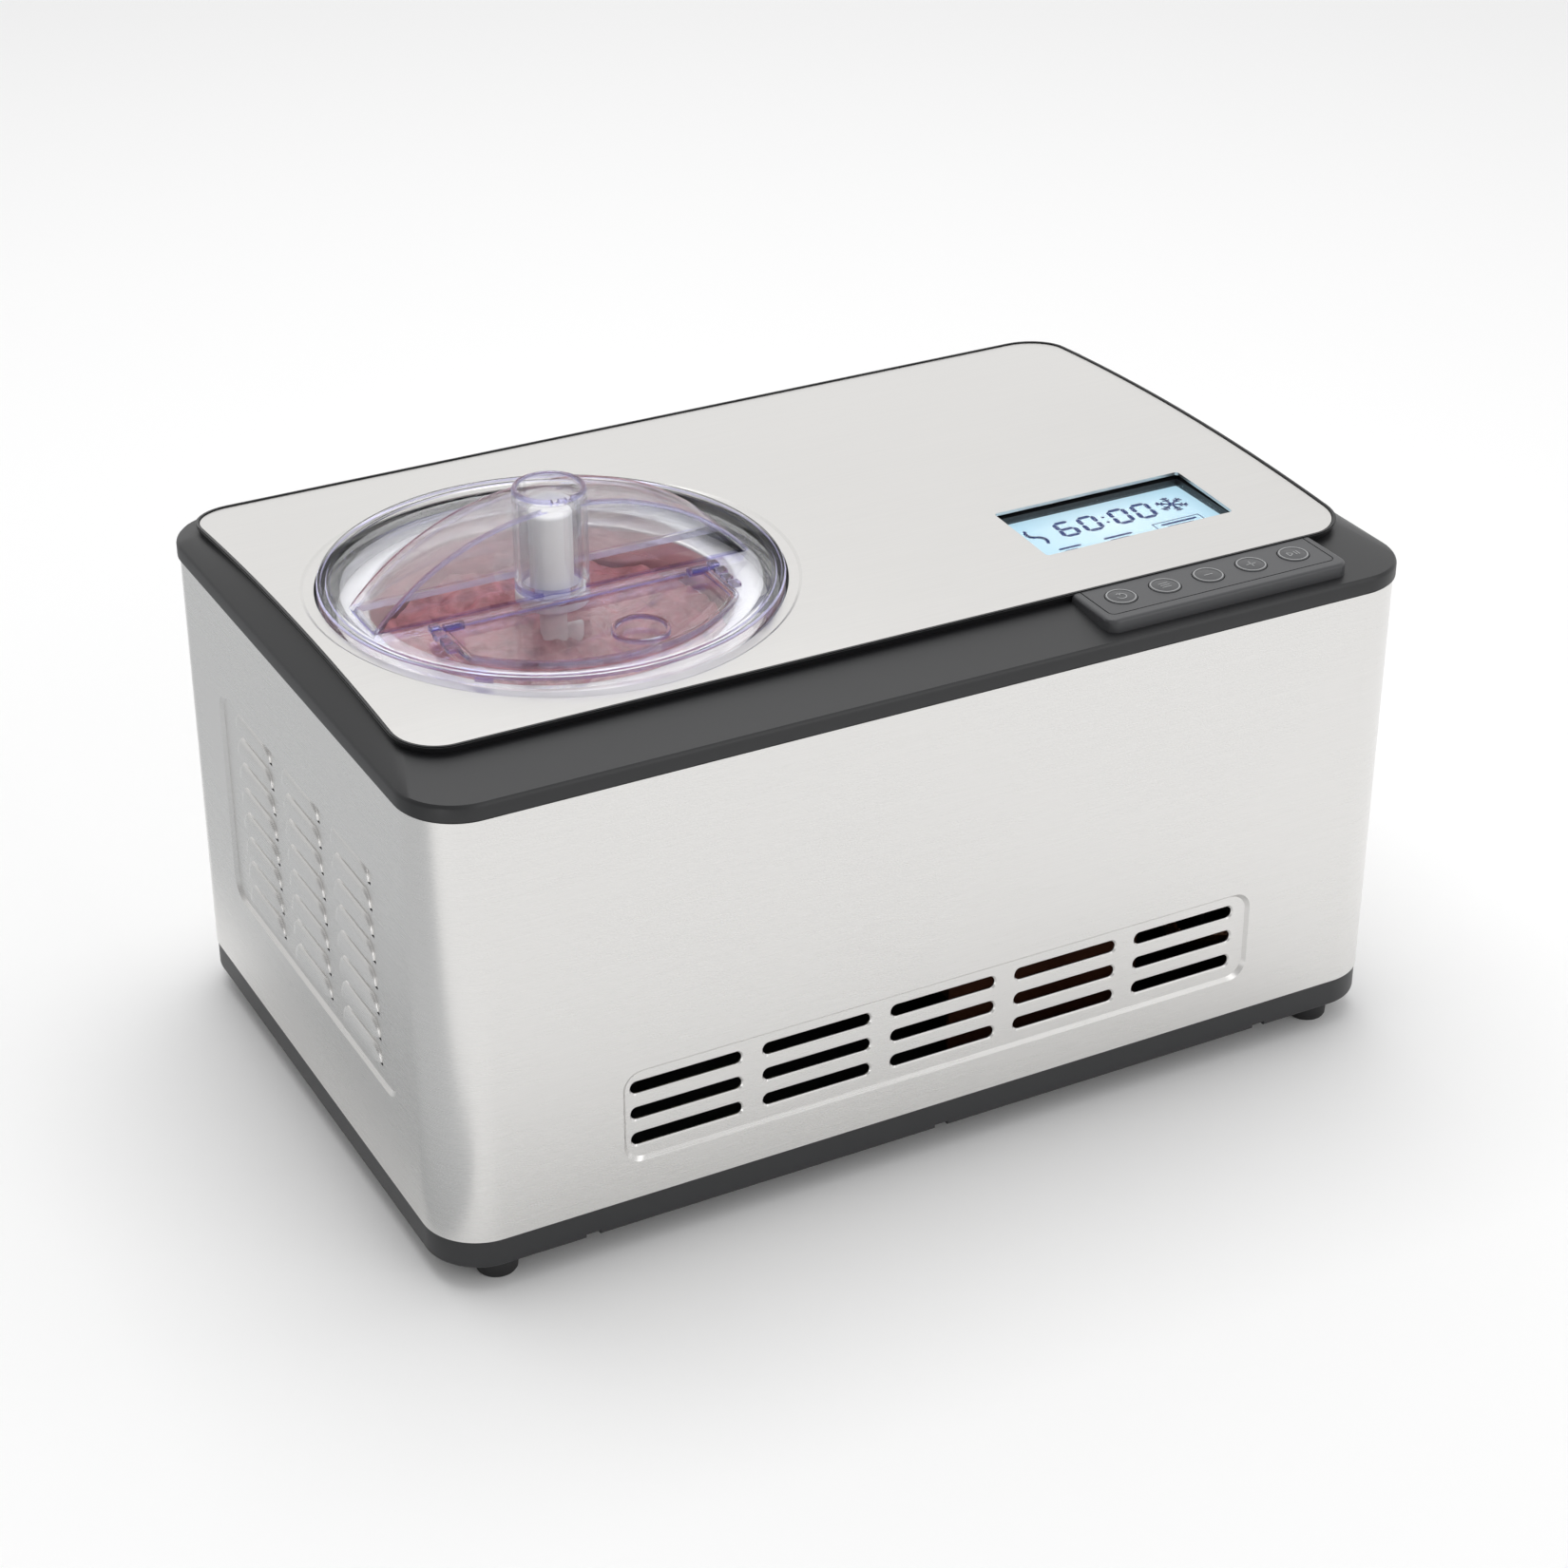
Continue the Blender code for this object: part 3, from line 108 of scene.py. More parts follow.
@contextmanager
def editing(obj):
    lone(obj)
    bpy.ops.object.mode_set(mode="EDIT")
    bpy.ops.mesh.select_mode(type="VERT")
    bpy.ops.mesh.select_all(action="SELECT")
    yield
    bpy.ops.object.mode_set(mode="OBJECT")


def pick(obj, kind, test):
    """In edit mode, selects each vertex, edge or face whose middle and element pass a test."""
    bpy.ops.mesh.select_mode(type=kind)
    bpy.ops.mesh.select_all(action="DESELECT")
    mesh = bmesh.from_edit_mesh(obj.data)
    for item in {"VERT": mesh.verts, "EDGE": mesh.edges, "FACE": mesh.faces}[kind]:
        corners = [item.co] if kind == "VERT" else [vert.co for vert in item.verts]
        middle = sum(corners, Vector()) / len(corners)
        if test(middle, item):
            item.select_set(True)
    bmesh.update_edit_mesh(obj.data)


def along(edge, axis):
    """True if an edge runs along an axis."""
    span = edge.verts[1].co - edge.verts[0].co
    return abs(span[axis]) > 0.999 * span.length


def up(height):
    return Vector((0, 0, height))


# %% Steps in edit mode
def bevel(width, steps):
    bpy.ops.mesh.bevel(offset=width, segments=steps, affect="EDGES")


def extrude(step):
    bpy.ops.mesh.extrude_region_move(TRANSFORM_OT_translate={"value": step})


def resize(x, y, z):
    """Scales what is selected about the origin."""
    bpy.ops.transform.resize(value=(x, y, z), center_override=(0, 0, 0))


def slice_off(spot, outward):
    """Cuts the whole mesh at a plane, drops the outer side and closes the cut."""
    bpy.ops.mesh.select_all(action="SELECT")
    bpy.ops.mesh.bisect(plane_co=spot, plane_no=outward, clear_outer=True, use_fill=True)


# %% Modifiers
def apply(obj, kind, **settings):
    """Adds a modifier with its settings and applies it."""
    lone(obj)
    modifier = obj.modifiers.new(kind.lower(), kind)
    for name, value in settings.items():
        setattr(modifier, name, value)
    bpy.ops.object.modifier_apply(modifier=modifier.name)
    return obj


def combine(obj, tool, operation="DIFFERENCE"):
    """Cuts, joins or intersects a piece with a tool, which is then thrown away."""
    apply(obj, "BOOLEAN", object=tool, operation=operation, solver="EXACT")
    bpy.data.objects.remove(tool, do_unlink=True)
    return obj


def copies(obj, count, step):
    """Repeats a mesh in a row, each copy one step from the last."""
    offset = {"use_relative_offset": False, "use_constant_offset": True}
    return apply(obj, "ARRAY", count=count, constant_offset_displace=step, **offset)


# %% Primitives and drawn lines
def block(name, low, high):
    """A box between two corners."""
    low, high = Vector(low), Vector(high)
    bpy.ops.object.select_all(action="DESELECT")
    bpy.ops.mesh.primitive_cube_add(size=1, location=(low + high) / 2)
    obj = bpy.context.object
    obj.name = name
    obj.scale = high - low
    return settle(obj)


def rounded_block(name, low, high, radius, axis=2, steps=6):
    """A box whose four edges along one axis are rounded."""
    obj = block(name, low, high)
    with editing(obj):
        pick(obj, "EDGE", lambda middle, edge: along(edge, axis))
        bevel(radius, steps)
    return obj


def rod(name, start, end, radius, steps=64):
    """A round bar from one point to another."""
    start, end = Vector(start), Vector(end)
    bpy.ops.object.select_all(action="DESELECT")
    bpy.ops.mesh.primitive_cylinder_add(
        vertices=steps, radius=radius, depth=(end - start).length, location=(start + end) / 2
    )
    obj = bpy.context.object
    obj.name = name
    obj.rotation_mode = "QUATERNION"
    obj.rotation_quaternion = (end - start).to_track_quat("Z", "Y")
    return settle(obj)


def drawn(name, points, closed=False):
    """A line drawn by extruding one vertex from point to point."""
    bpy.ops.object.select_all(action="DESELECT")
    bpy.ops.mesh.primitive_plane_add(size=1)
    obj = bpy.context.object
    obj.name = name
    with editing(obj):
        bpy.ops.mesh.merge(type="CENTER")
        bpy.ops.transform.translate(value=points[0])
        for here, there in zip(points, points[1:]):
            extrude(Vector(there) - Vector(here))
        if closed:
            ends = (0, len(points) - 1)
            pick(obj, "VERT", lambda middle, vert: vert.index in ends)
            bpy.ops.mesh.edge_face_add()
    return obj


def tidy(obj, merge=1e-6):
    """Merges doubled vertices and turns every face outwards."""
    with editing(obj):
        bpy.ops.mesh.remove_doubles(threshold=merge)
        bpy.ops.mesh.normals_make_consistent(inside=False)
    return obj


def turned(name, profile, centre, steps=128, closed=True):
    """A piece turned about an upright axis from a profile of (radius, height) points."""
    points = [(centre[0] + radius, centre[1], z) for radius, z in profile]
    obj = drawn(name, points, closed)
    with editing(obj):
        middle = (centre[0], centre[1], 0)
        bpy.ops.mesh.spin(steps=steps, angle=math.tau, center=middle, axis=(0, 0, 1), use_auto_merge=True)
    return tidy(obj)


def joined(name, pieces):
    """Several objects as one mesh."""
    lone(pieces[0])
    for piece in pieces:
        piece.select_set(True)
    bpy.ops.object.join()
    pieces[0].name = name
    return pieces[0]

# %% [markdown]
# ## Handing a piece over
#
# A finished piece has its place in its mesh, rides on a body of the model, and takes the place of
# the plain CAD nodes that it stands for. Weighted normals keep the flat faces flat beside a bevel.


# %% Finishing a piece
def place(obj, material, body, slot, replaces=(), smooth=32, weighted=False):
    settle(obj)
    bpy.ops.object.shade_smooth_by_angle(angle=math.radians(smooth))
    if weighted:
        apply(obj, "WEIGHTED_NORMAL", keep_sharp=True, weight=100)
    obj.data.materials.clear()
    obj.data.materials.append(material)
    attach(obj, body)
    if replaces:
        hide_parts(*replaces)
    print(obj.name, len(obj.data.polygons), "faces")
    return obj


def second_finish(obj, material, test):
    """Gives a second material to the faces that pass a test."""
    obj.data.materials.append(material)
    with editing(obj):
        pick(obj, "FACE", test)
        obj.active_material_index = len(obj.data.materials) - 1
        bpy.ops.object.material_slot_assign()

# %% [markdown]
# ## Materials as expressions
#
# A shader graph is easier to read as arithmetic. `Value` wraps an output socket, and each operator
# adds the Math node that does it. `Finish.node` makes every other kind of node.


# %% Socket arithmetic
class Value:
    def __init__(self, finish, socket):
        self.finish = finish
        self.socket = socket

    def math(self, operation, other):
        return self.finish.node("ShaderNodeMath", {0: self, 1: other}, operation=operation)

    def __add__(self, other):
        return self.math("ADD", other)

    def __sub__(self, other):
        return self.math("SUBTRACT", other)

    def __mul__(self, other):
        return self.math("MULTIPLY", other)

    def __pow__(self, other):
        return self.math("POWER", other)


class Finish:
    """One material: a Principled shader, and the nodes that feed it."""

    def __init__(self, name, **constants):
        self.material = bpy.data.materials.new(name)
        self.material.use_nodes = True
        self.tree = self.material.node_tree
        self.shader = self.tree.nodes["Principled BSDF"]
        for key, value in constants.items():
            socket = self.shader.inputs[key.replace("_", " ")]
            socket.default_value = (*value, 1.0) if key in ("Base_Color", "Emission_Color") else value

    def node(self, kind, values=None, output=0, **settings):
        """Adds a node, sets its settings first, then its sockets' values or links."""
        made = self.tree.nodes.new(kind)
        for name, value in settings.items():
            setattr(made, name, value)
        for key, value in (values or {}).items():
            if isinstance(value, Value):
                self.tree.links.new(value.socket, made.inputs[key])
            else:
                made.inputs[key].default_value = value
        return Value(self, made.outputs[output])

    def position(self, scale=(1, 1, 1), shift=(0, 0, 0)):
        """Object coordinates, which are metres here, scaled for a pattern."""
        texture = self.node("ShaderNodeTexCoord", output="Object")
        return self.node("ShaderNodeMapping", {"Vector": texture, "Scale": scale, "Location": shift})

    def noise(self, vector, scale, detail=3.0, roughness=0.55):
        values = {"Vector": vector, "Scale": scale, "Detail": detail, "Roughness": roughness}
        return self.node("ShaderNodeTexNoise", values)

    def mix(self, factor, first, second):
        """Two colours mixed by a value."""
        made = self.tree.nodes.new("ShaderNodeMix")
        made.data_type = "RGBA"
        for key, value in (("Factor_Float", factor), ("A_Color", first), ("B_Color", second)):
            socket = next(s for s in made.inputs if s.identifier == key)
            if isinstance(value, Value):
                self.tree.links.new(value.socket, socket)
            else:
                socket.default_value = (*value, 1.0) if isinstance(value, tuple) else value
        return Value(self, next(s for s in made.outputs if s.identifier == "Result_Color"))

    def feed(self, **links):
        """Links values to the shader's sockets."""
        for key, value in links.items():
            self.tree.links.new(value.socket, self.shader.inputs[key.replace("_", " ")])
        return self

    def bump(self, height, strength, distance):
        values = {"Height": height, "Strength": strength, "Distance": distance}
        return self.feed(Normal=self.node("ShaderNodeBump", values))


def shade(colour, share):
    """A colour made darker or lighter."""
    return tuple(min(1.0, c * share) for c in colour)

# %% [markdown]
# ## Brushed steel
#
# The sheet is brushed along its length, so its grain is a noise stretched a hundred times along
# that direction. It moves the roughness and the brightness a little, and a fine bump spreads the
# reflections across the grain. A slow second noise keeps the large faces from looking printed.


# %% Steel
def steel(name, stretch, colour=(0.78, 0.77, 0.755), rough=0.28):
    finish = Finish(name, Metallic=1.0, IOR=2.5)
    grain = finish.noise(finish.position(scale=stretch), 1.0, detail=4.0, roughness=0.7)
    cloud = finish.noise(finish.position(), 9.0, detail=2.0)
    streak = grain * 0.8 + cloud * 0.2
    finish.feed(Base_Color=finish.mix(streak, shade(colour, 0.90), shade(colour, 1.06)))
    finish.feed(Roughness=grain * 0.10 + cloud * 0.06 + (rough - 0.08))
    finish.bump(grain, 0.25, 0.00004)
    return finish.material


wall_steel = steel("wall_steel", (40, 40, 4200))
top_steel = steel("top_steel", (24, 2600, 2600), colour=(0.66, 0.65, 0.635), rough=0.31)

# %% [markdown]
# ## Moulded plastics
#
# The frame is a charcoal plastic with a fine spark-eroded texture. The control pad is the same
# plastic, a little lighter and smoother. The feet are plain black rubber.


# %% Dark plastics and rubber
def moulded(name, colour, rough, texture, depth):
    finish = Finish(name)
    skin = finish.noise(finish.position(), texture, detail=3.0)
    cloud = finish.noise(finish.position(), 14.0, detail=2.0)
    finish.feed(Base_Color=finish.mix(cloud, shade(colour, 0.86), colour))
    finish.feed(Roughness=skin * 0.12 + (rough - 0.06))
    finish.bump(skin, 0.35, depth)
    return finish.material


frame_plastic = moulded("frame_plastic", (0.015, 0.0154, 0.0168), 0.40, 2600.0, 0.00003)
base_plastic = moulded("base_plastic", (0.024, 0.0245, 0.0265), 0.44, 2600.0, 0.00003)
pad_plastic = moulded("pad_plastic", (0.058, 0.059, 0.063), 0.38, 3200.0, 0.00002)
ring_print = moulded("ring_print", (0.34, 0.345, 0.35), 0.45, 3200.0, 0.00001)
foot_rubber = moulded("foot_rubber", (0.018, 0.018, 0.019), 0.62, 1500.0, 0.00004)
dark_plastic = moulded("dark_plastic", (0.022, 0.022, 0.024), 0.40, 1800.0, 0.00003)
white_plastic = moulded("white_plastic", (0.90, 0.90, 0.90), 0.30, 1500.0, 0.00001)

# %% [markdown]
# ## Clear plastic
#
# The lid is a styrene-like plastic with a faint violet tint. Seen face on, most of the light goes
# straight through, and walls seen at a shallow angle bend and reflect it. Those walls, and the narrow
# faces at rims, corners and joins, are given a deeper, darker violet: painted shade standing for the
# light that the plastic's edges bend away, laid over its real faint tint.


# %% Clear plastic
def clear(name, face, edge, least, most, rough=0.02):
    """Plastic whose share of bent and reflected light goes from least, face on, to most."""
    finish = Finish(name, IOR=1.46, Transmission_Weight=1.0)
    shallow = finish.node("ShaderNodeLayerWeight", {"Blend": 0.40}, output="Facing")
    # The colour darkens from the face colour to the edge colour as the wall is seen at a shallower angle:
    # painted shade for the light bent away at the plastic's edges.
    finish.feed(Base_Color=finish.mix(shallow ** 1.6, face, edge))
    smudge = finish.noise(finish.position(), 60.0, detail=3.0)
    finish.feed(Roughness=smudge * 0.02 + rough)
    finish.feed(Alpha=(shallow ** 1.7) * (most - least) + least)
    return finish.material


# In each clear plastic the second colour is painted edge shade; the deep violet plastic is that painted
# shade alone, for narrow faces and the hatch pins.
lid_plastic = clear("lid_plastic", (0.95, 0.96, 1.0), (0.58, 0.58, 0.84), 0.10, 0.92)
hatch_plastic = clear("hatch_plastic", (0.93, 0.93, 1.0), (0.55, 0.54, 0.82), 0.08, 0.90)
shaded_edge_plastic = clear("shaded_edge_plastic", (0.40, 0.38, 0.76), (0.26, 0.24, 0.62), 0.80, 1.0, rough=0.06)
lens_plastic = clear("lens_plastic", (0.97, 0.99, 1.0), (0.80, 0.85, 0.90), 0.02, 0.10)

# %% [markdown]
# ## Metals and the parts inside
#
# The bowl is spun aluminium with fine turning rings. The parts inside show only through the vents
# or when the bowl is out, but each still has the finish of the real material.


# %% Inside finishes
def spun(name, colour, rough):
    """Metal turned about the bowl's upright axis, with fine rings."""
    finish = Finish(name, Metallic=1.0)
    middle = (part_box("bowl")[0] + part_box("bowl")[1]) / 2
    around = finish.position(shift=(-middle.x, -middle.y, 0))
    distance = finish.node("ShaderNodeVectorMath", {0: around}, output="Value", operation="LENGTH")
    rings = finish.node("ShaderNodeTexNoise", {"W": distance, "Scale": 1800.0}, noise_dimensions="1D")
    finish.feed(Base_Color=finish.mix(rings, shade(colour, 0.93), colour))
    finish.feed(Roughness=rings * 0.10 + (rough - 0.05))
    finish.bump(rings, 0.2, 0.00003)
    return finish.material


def plain_metal(name, colour, rough, grain=300.0):
    finish = Finish(name, Metallic=1.0)
    mottle = finish.noise(finish.position(), grain, detail=4.0)
    finish.feed(Base_Color=finish.mix(mottle, shade(colour, 0.85), colour))
    finish.feed(Roughness=mottle * 0.2 + (rough - 0.1))
    finish.bump(mottle, 0.2, 0.00004)
    return finish.material


bowl_metal = spun("bowl_metal", (0.86, 0.86, 0.86), 0.30)
fin_metal = plain_metal("fin_metal", (0.74, 0.75, 0.76), 0.38)
zinc = plain_metal("zinc", (0.60, 0.60, 0.58), 0.36)
copper = plain_metal("copper", (0.80, 0.43, 0.28), 0.30)
black_enamel = moulded("black_enamel", (0.02, 0.02, 0.022), 0.30, 500.0, 0.00006)
foam_skin = moulded("foam_skin", (0.80, 0.74, 0.52), 0.85, 700.0, 0.0004)
board_brown = moulded("board_brown", (0.10, 0.035, 0.018), 0.42, 900.0, 0.00005)

CAD_FINISHES = (
    (bowl_metal, "bowl freezer_well"),
    (copper, "evaporator_coil filter_drier discharge_line suction_line liquid_line capillary_tube"),
    (zinc, "drive_shaft gear_housing motor_bracket compressor_plate"),
    (fin_metal, "condenser"),
    (foam_skin, "foam_insulation"),
    (black_enamel, "drive_motor compressor"),
    (board_brown, "power_board control_board"),
    (dark_plastic, "fan_frame fan_rotor screen_bezel mains_inlet"),
    (base_plastic, "deck base_tray"),
    (frame_plastic, "top_frame"),
    (pad_plastic, "control_pad " + " ".join(f"key_{key}" for key in KEYS)),
    (wall_steel, "steel_housing"),
    (top_steel, "top_plate"),
    (lens_plastic, "screen_lens"),
    (lid_plastic, "lid"),
    (hatch_plastic, "filler_hatch"),
    # The hatch pins get the deep violet of the plastic's edges, which is painted shade.
    (shaded_edge_plastic, "hatch_pin_left hatch_pin_right"),
    (white_plastic, "paddle"),
    (foot_rubber, "shaft_seal " + " ".join(f"foot_{foot}" for foot in FEET)),
    (foot_rubber, " ".join(f"compressor_grommet_{number}" for number in range(1, 5))),
)
for material, names in CAD_FINISHES:
    for name in names.split():
        nodes[name].data.materials.clear()
        nodes[name].data.materials.append(material)

# %% [markdown]
# ## The steel wall
#
# One sheet is wrapped round the case. A box gives the outer face: its ends are deleted, its
# upright edges are rounded, and a wall thickness is added inwards. The vents sit in shallow
# pressed panels, whose sloping border catches the light, so the panels are cut first. A panel's
# tool is full size at the wall's face and smaller where it is sunk, which leaves that slope.

# %% Wall shell and pressed panels
FIT = 0.0003
WALL_THICKNESS = 0.0026
PANEL_DEPTH = 0.0014
PANEL_SLOPE = 0.0014
CORNER = 0.023

wall_low, wall_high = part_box("steel_housing")
wall = block("steel_wall", wall_low, wall_high)
with editing(wall):
    pick(wall, "EDGE", lambda middle, edge: along(edge, 2))
    bevel(CORNER, 20)
    pick(wall, "FACE", lambda middle, face: abs(face.normal.z) > 0.9)
    bpy.ops.mesh.delete(type="FACE")
apply(wall, "SOLIDIFY", thickness=WALL_THICKNESS, offset=-1.0, use_even_offset=True)


def sunk_panel(half_width, half_height, radius):
    """A rounded slab in the XY plane that is open at +Z, and sunk and smaller at -Z."""
    size = (half_width, half_height)
    slab = rounded_block("panel_tool", (-size[0], -size[1], 0), (*size, 0.003), radius, steps=8)
    with editing(slab):
        pick(slab, "FACE", lambda middle, face: face.normal.z < -0.9)
        extrude(up(-PANEL_DEPTH))
        resize(1 - PANEL_SLOPE / half_width, 1 - PANEL_SLOPE / half_height, 1)
    return slab


def stand(obj, side, middle):
    """Stands a flat tool against a side of the case: its +Z becomes the way out of that side."""
    outward = {"front": (0, -1, 0), "left": (-1, 0, 0), "right": (1, 0, 0)}[side]
    sideways = Vector((0, 0, 1)).cross(Vector(outward))
    turn = Matrix((sideways, (0, 0, 1), outward)).transposed().to_4x4()
    obj.matrix_world = Matrix.Translation(middle) @ turn
    return settle(obj)

# %% [markdown]
# The slots and louvres keep the places of the model's own openings. Each slot's tool flares at the
# panel's face, so the cut comes out with the small rolled edge that shines along the real slots.

# %% Front slots
WALL_FOOT = 0.022
SLOT_SIZE = (0.0465, 0.0053)
SLOT_PITCH = (0.0557, 0.0115)
SLOT_GRID = (5, 3)
SLOTS_MIDDLE = WALL_FOOT + 0.0373
SLOT_REACH = 0.006
FRONT_PANEL = (0.1405, 0.0205, 0.008)
FRONT_PANEL_SHIFT = (0.002, -0.0005)
FLARE = 0.0006

front = Vector((FRONT_PANEL_SHIFT[0], wall_low.y, SLOTS_MIDDLE + FRONT_PANEL_SHIFT[1]))
combine(wall, stand(sunk_panel(*FRONT_PANEL), "front", front))

half = (SLOT_SIZE[0] / 2, SLOT_SIZE[1] / 2)
slots = rounded_block(
    "slots_tool",
    (-half[0], -half[1], -SLOT_REACH),
    (*half, -PANEL_DEPTH - FLARE),
    half[1] * 0.98,
    steps=8,
)
with editing(slots):
    pick(slots, "FACE", lambda middle, face: face.normal.z > 0.9)
    extrude(up(FLARE))
    resize(1 + FLARE / half[0], 1 + FLARE / half[1], 1)
    extrude(up(SLOT_REACH / 2))
copies(slots, SLOT_GRID[0], (SLOT_PITCH[0], 0, 0))
copies(slots, SLOT_GRID[1], (0, SLOT_PITCH[1], 0))
first_slot = Vector((-2 * SLOT_PITCH[0], wall_low.y, SLOTS_MIDDLE - SLOT_PITCH[1]))
combine(wall, stand(slots, "front", first_slot))

# %% [markdown]
# A louvre is a slit whose upper lip is pressed outwards into a long rounded rib. The rib is a
# sphere stretched into a capsule, flattened, and cut level underneath, where the slit is. The ribs
# are joined to the wall last, so that every cut in the wall is made in a plain sheet.

# %% Side louvres
LOUVRE_SIZE = (0.0375, 0.0012)
LOUVRE_PITCH = (0.0505, 0.0113)
LOUVRE_GRID = (3, 8)
LOUVRES_MIDDLE = (-0.0055, WALL_FOOT + 0.0895)
RIB_HEIGHT = 0.0072
RIB_PROUD = 0.0024
RIB_SET_IN = 0.0001
SLIT_BEYOND_RIB = 0.0008
SIDE_PANEL = (0.0865, 0.0475, 0.009)


def rib_tool():
    """One pressed lip in the XY plane, its rounded back along +Y and its cut side at y = 0."""
    on_its_side = (0, math.pi / 2, 0)
    bpy.ops.object.select_all(action="DESELECT")
    bpy.ops.mesh.primitive_uv_sphere_add(
        segments=24, ring_count=16, radius=RIB_HEIGHT, rotation=on_its_side
    )
    rib = settle(bpy.context.object)
    rib.name = "rib_tool"
    stretch = LOUVRE_SIZE[0] / 2 - RIB_HEIGHT
    with editing(rib):
        pick(rib, "VERT", lambda middle, vert: middle.x > 1e-5)
        bpy.ops.transform.translate(value=(stretch, 0, 0))
        pick(rib, "VERT", lambda middle, vert: middle.x < -1e-5)
        bpy.ops.transform.translate(value=(-stretch, 0, 0))
        bpy.ops.mesh.select_all(action="SELECT")
        resize(1, 1, RIB_PROUD / RIB_HEIGHT)
        slice_off((0, 0, 0), (0, -1, 0))
    return rib


def grid_of(tool):
    copies(tool, LOUVRE_GRID[0], (LOUVRE_PITCH[0], 0, 0))
    return copies(tool, LOUVRE_GRID[1], (0, LOUVRE_PITCH[1], 0))


ribs = []
for side, x, way in (("left", wall_low.x, 1), ("right", wall_high.x, -1)):
    middle = Vector((x, *LOUVRES_MIDDLE))
    combine(wall, stand(sunk_panel(*SIDE_PANEL), side, middle))
    first = -LOUVRE_PITCH[1] * (LOUVRE_GRID[1] - 1) / 2
    sunk = middle + Vector((way * PANEL_DEPTH, way * LOUVRE_PITCH[0], first))
    half = Vector((LOUVRE_SIZE[0] / 2 + SLIT_BEYOND_RIB, LOUVRE_SIZE[1] / 2, 0.004))
    slit = block("slit_tool", -half, half)
    combine(wall, stand(grid_of(slit), side, sunk))
    set_in = Vector((way * RIB_SET_IN, 0, LOUVRE_SIZE[1] / 2))
    ribs.append(stand(grid_of(rib_tool()), side, sunk + set_in))

# %% [markdown]
# The appliance inlet passes through the rear face. Its hole is the wall's last cut, and the ribs
# of the louvres are joined on after it.

# %% Inlet hole and hand-over
inlet_low, inlet_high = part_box("mains_inlet")
hole = rounded_block(
    "inlet_tool",
    (inlet_low.x - FIT, wall_high.y - 0.01, inlet_low.z - FIT),
    (inlet_high.x + FIT, wall_high.y + 0.01, inlet_high.z + FIT),
    0.003,
    axis=1,
)
combine(wall, hole)
wall = joined("steel_wall", [wall, *ribs])
place(wall, wall_steel, "case", "steel_wall", ["steel_housing"], smooth=28, weighted=True)

# %% [markdown]
# ## The base band and the feet
#
# The base tray shows as a dark band under the steel, with rounded corners and a softened lower
# edge. Its front edge has three small notches where the tray is clipped. Four turned rubber feet
# stand under it, each turned from the same profile with its own mesh.

# %% Base band
TRAY_WALL = 0.0025
TRAY_CORNER = 0.0225
NOTCHES = (-0.152, 0.0, 0.152)
NOTCH = Vector((0.003, 0.0025, 0.002))


def beside_wall(edge):
    return any(abs(face.normal.z) < 0.1 for face in edge.link_faces)


low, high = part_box("base_tray")
band = rounded_block("base_band", low, high, TRAY_CORNER, steps=18)
with editing(band):
    pick(band, "FACE", lambda middle, face: face.normal.z < -0.9)
    bpy.ops.mesh.inset(thickness=0.0016)
    pick(band, "EDGE", lambda middle, edge: abs(middle.z - low.z) < 1e-6 and beside_wall(edge))
    bevel(0.0012, 3)
    pick(band, "EDGE", lambda middle, edge: abs(middle.z - high.z) < 1e-6)
    bevel(0.0004, 2)
for x in NOTCHES:
    spot = Vector((x, low.y + 0.0005, low.z))
    combine(band, block("notch", spot - NOTCH, spot + NOTCH))
wall_in = Vector((TRAY_WALL, TRAY_WALL, TRAY_WALL))
hollow_high = (high.x - TRAY_WALL, high.y - TRAY_WALL, high.z + 0.01)
hollow = rounded_block("tray_hollow", low + wall_in, hollow_high, TRAY_CORNER - TRAY_WALL, steps=12)
combine(band, hollow)
place(band, base_plastic, "case", "frame_plastic", ["base_tray"], weighted=True)

# %% Feet
FOOT_PROFILE = (
    (0.62, 0.0004), (0.66, 0), (0.84, 0), (0.90, 0.0009), (0.93, 0.005), (0.97, 0.0056), (0.98, 0.009)
)
for name in FEET:
    low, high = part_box(f"foot_{name}")
    centre = (low + high) / 2
    r = (high.x - low.x) / 2
    rings = [(0, 0.0004)] + [(r * share, z) for share, z in FOOT_PROFILE]
    rings += [(r * 0.94, high.z), (0, high.z)]
    foot = turned(f"foot_{name}_rubber", rings, centre, steps=48, closed=False)
    place(foot, foot_rubber, "case", "rubber", [f"foot_{name}"])

# %% [markdown]
# ## The dark frame
#
# The frame is a ring whose section changes on the way round: upright at the lip, then a slope that
# is wide in front and narrow behind, up to the arched plate's edge. It is a loft: closed lines are
# drawn at each level with the same number of points, and bridged from one to the next.

# %% Levels of the top
plate_low, plate_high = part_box("top_plate")
frame_low, frame_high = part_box("top_frame")
RIDGE = frame_low.z + 0.007
PLATE_EDGE = RIDGE + 0.006
PLATE_FALL = 0.003
CROWN = 0.005
ARCH_ROWS = 24


def arch(y):
    """Height of the plate's top face, from front to rear."""
    t = (y - plate_low.y) / (plate_high.y - plate_low.y)
    return PLATE_EDGE - PLATE_FALL * t + 4 * CROWN * t * (1 - t)


def outline(low, high, radius, steps=14):
    """Points round a rectangle with round corners, closer together along its two sides."""
    x0, x1, y0, y1 = low[0] + radius, high[0] - radius, low[1] + radius, high[1] - radius
    points = []
    for number, (cx, cy) in enumerate(((x1, y0), (x1, y1), (x0, y1), (x0, y0))):
        for i in range(steps + 1):
            angle = math.radians(-90 + 90 * number + 90 * i / steps)
            points.append((cx + radius * math.cos(angle), cy + radius * math.sin(angle)))
        if number in (0, 2):
            x, y = points[-1]
            end = y1 if number == 0 else y0
            points += [(x, y + (end - y) * i / ARCH_ROWS) for i in range(1, ARCH_ROWS)]
    return points


# %% Lofted frame
FRAME_CORNER = 0.024
PLATE_CORNER = 0.017
FRAME_GAP = 0.0003


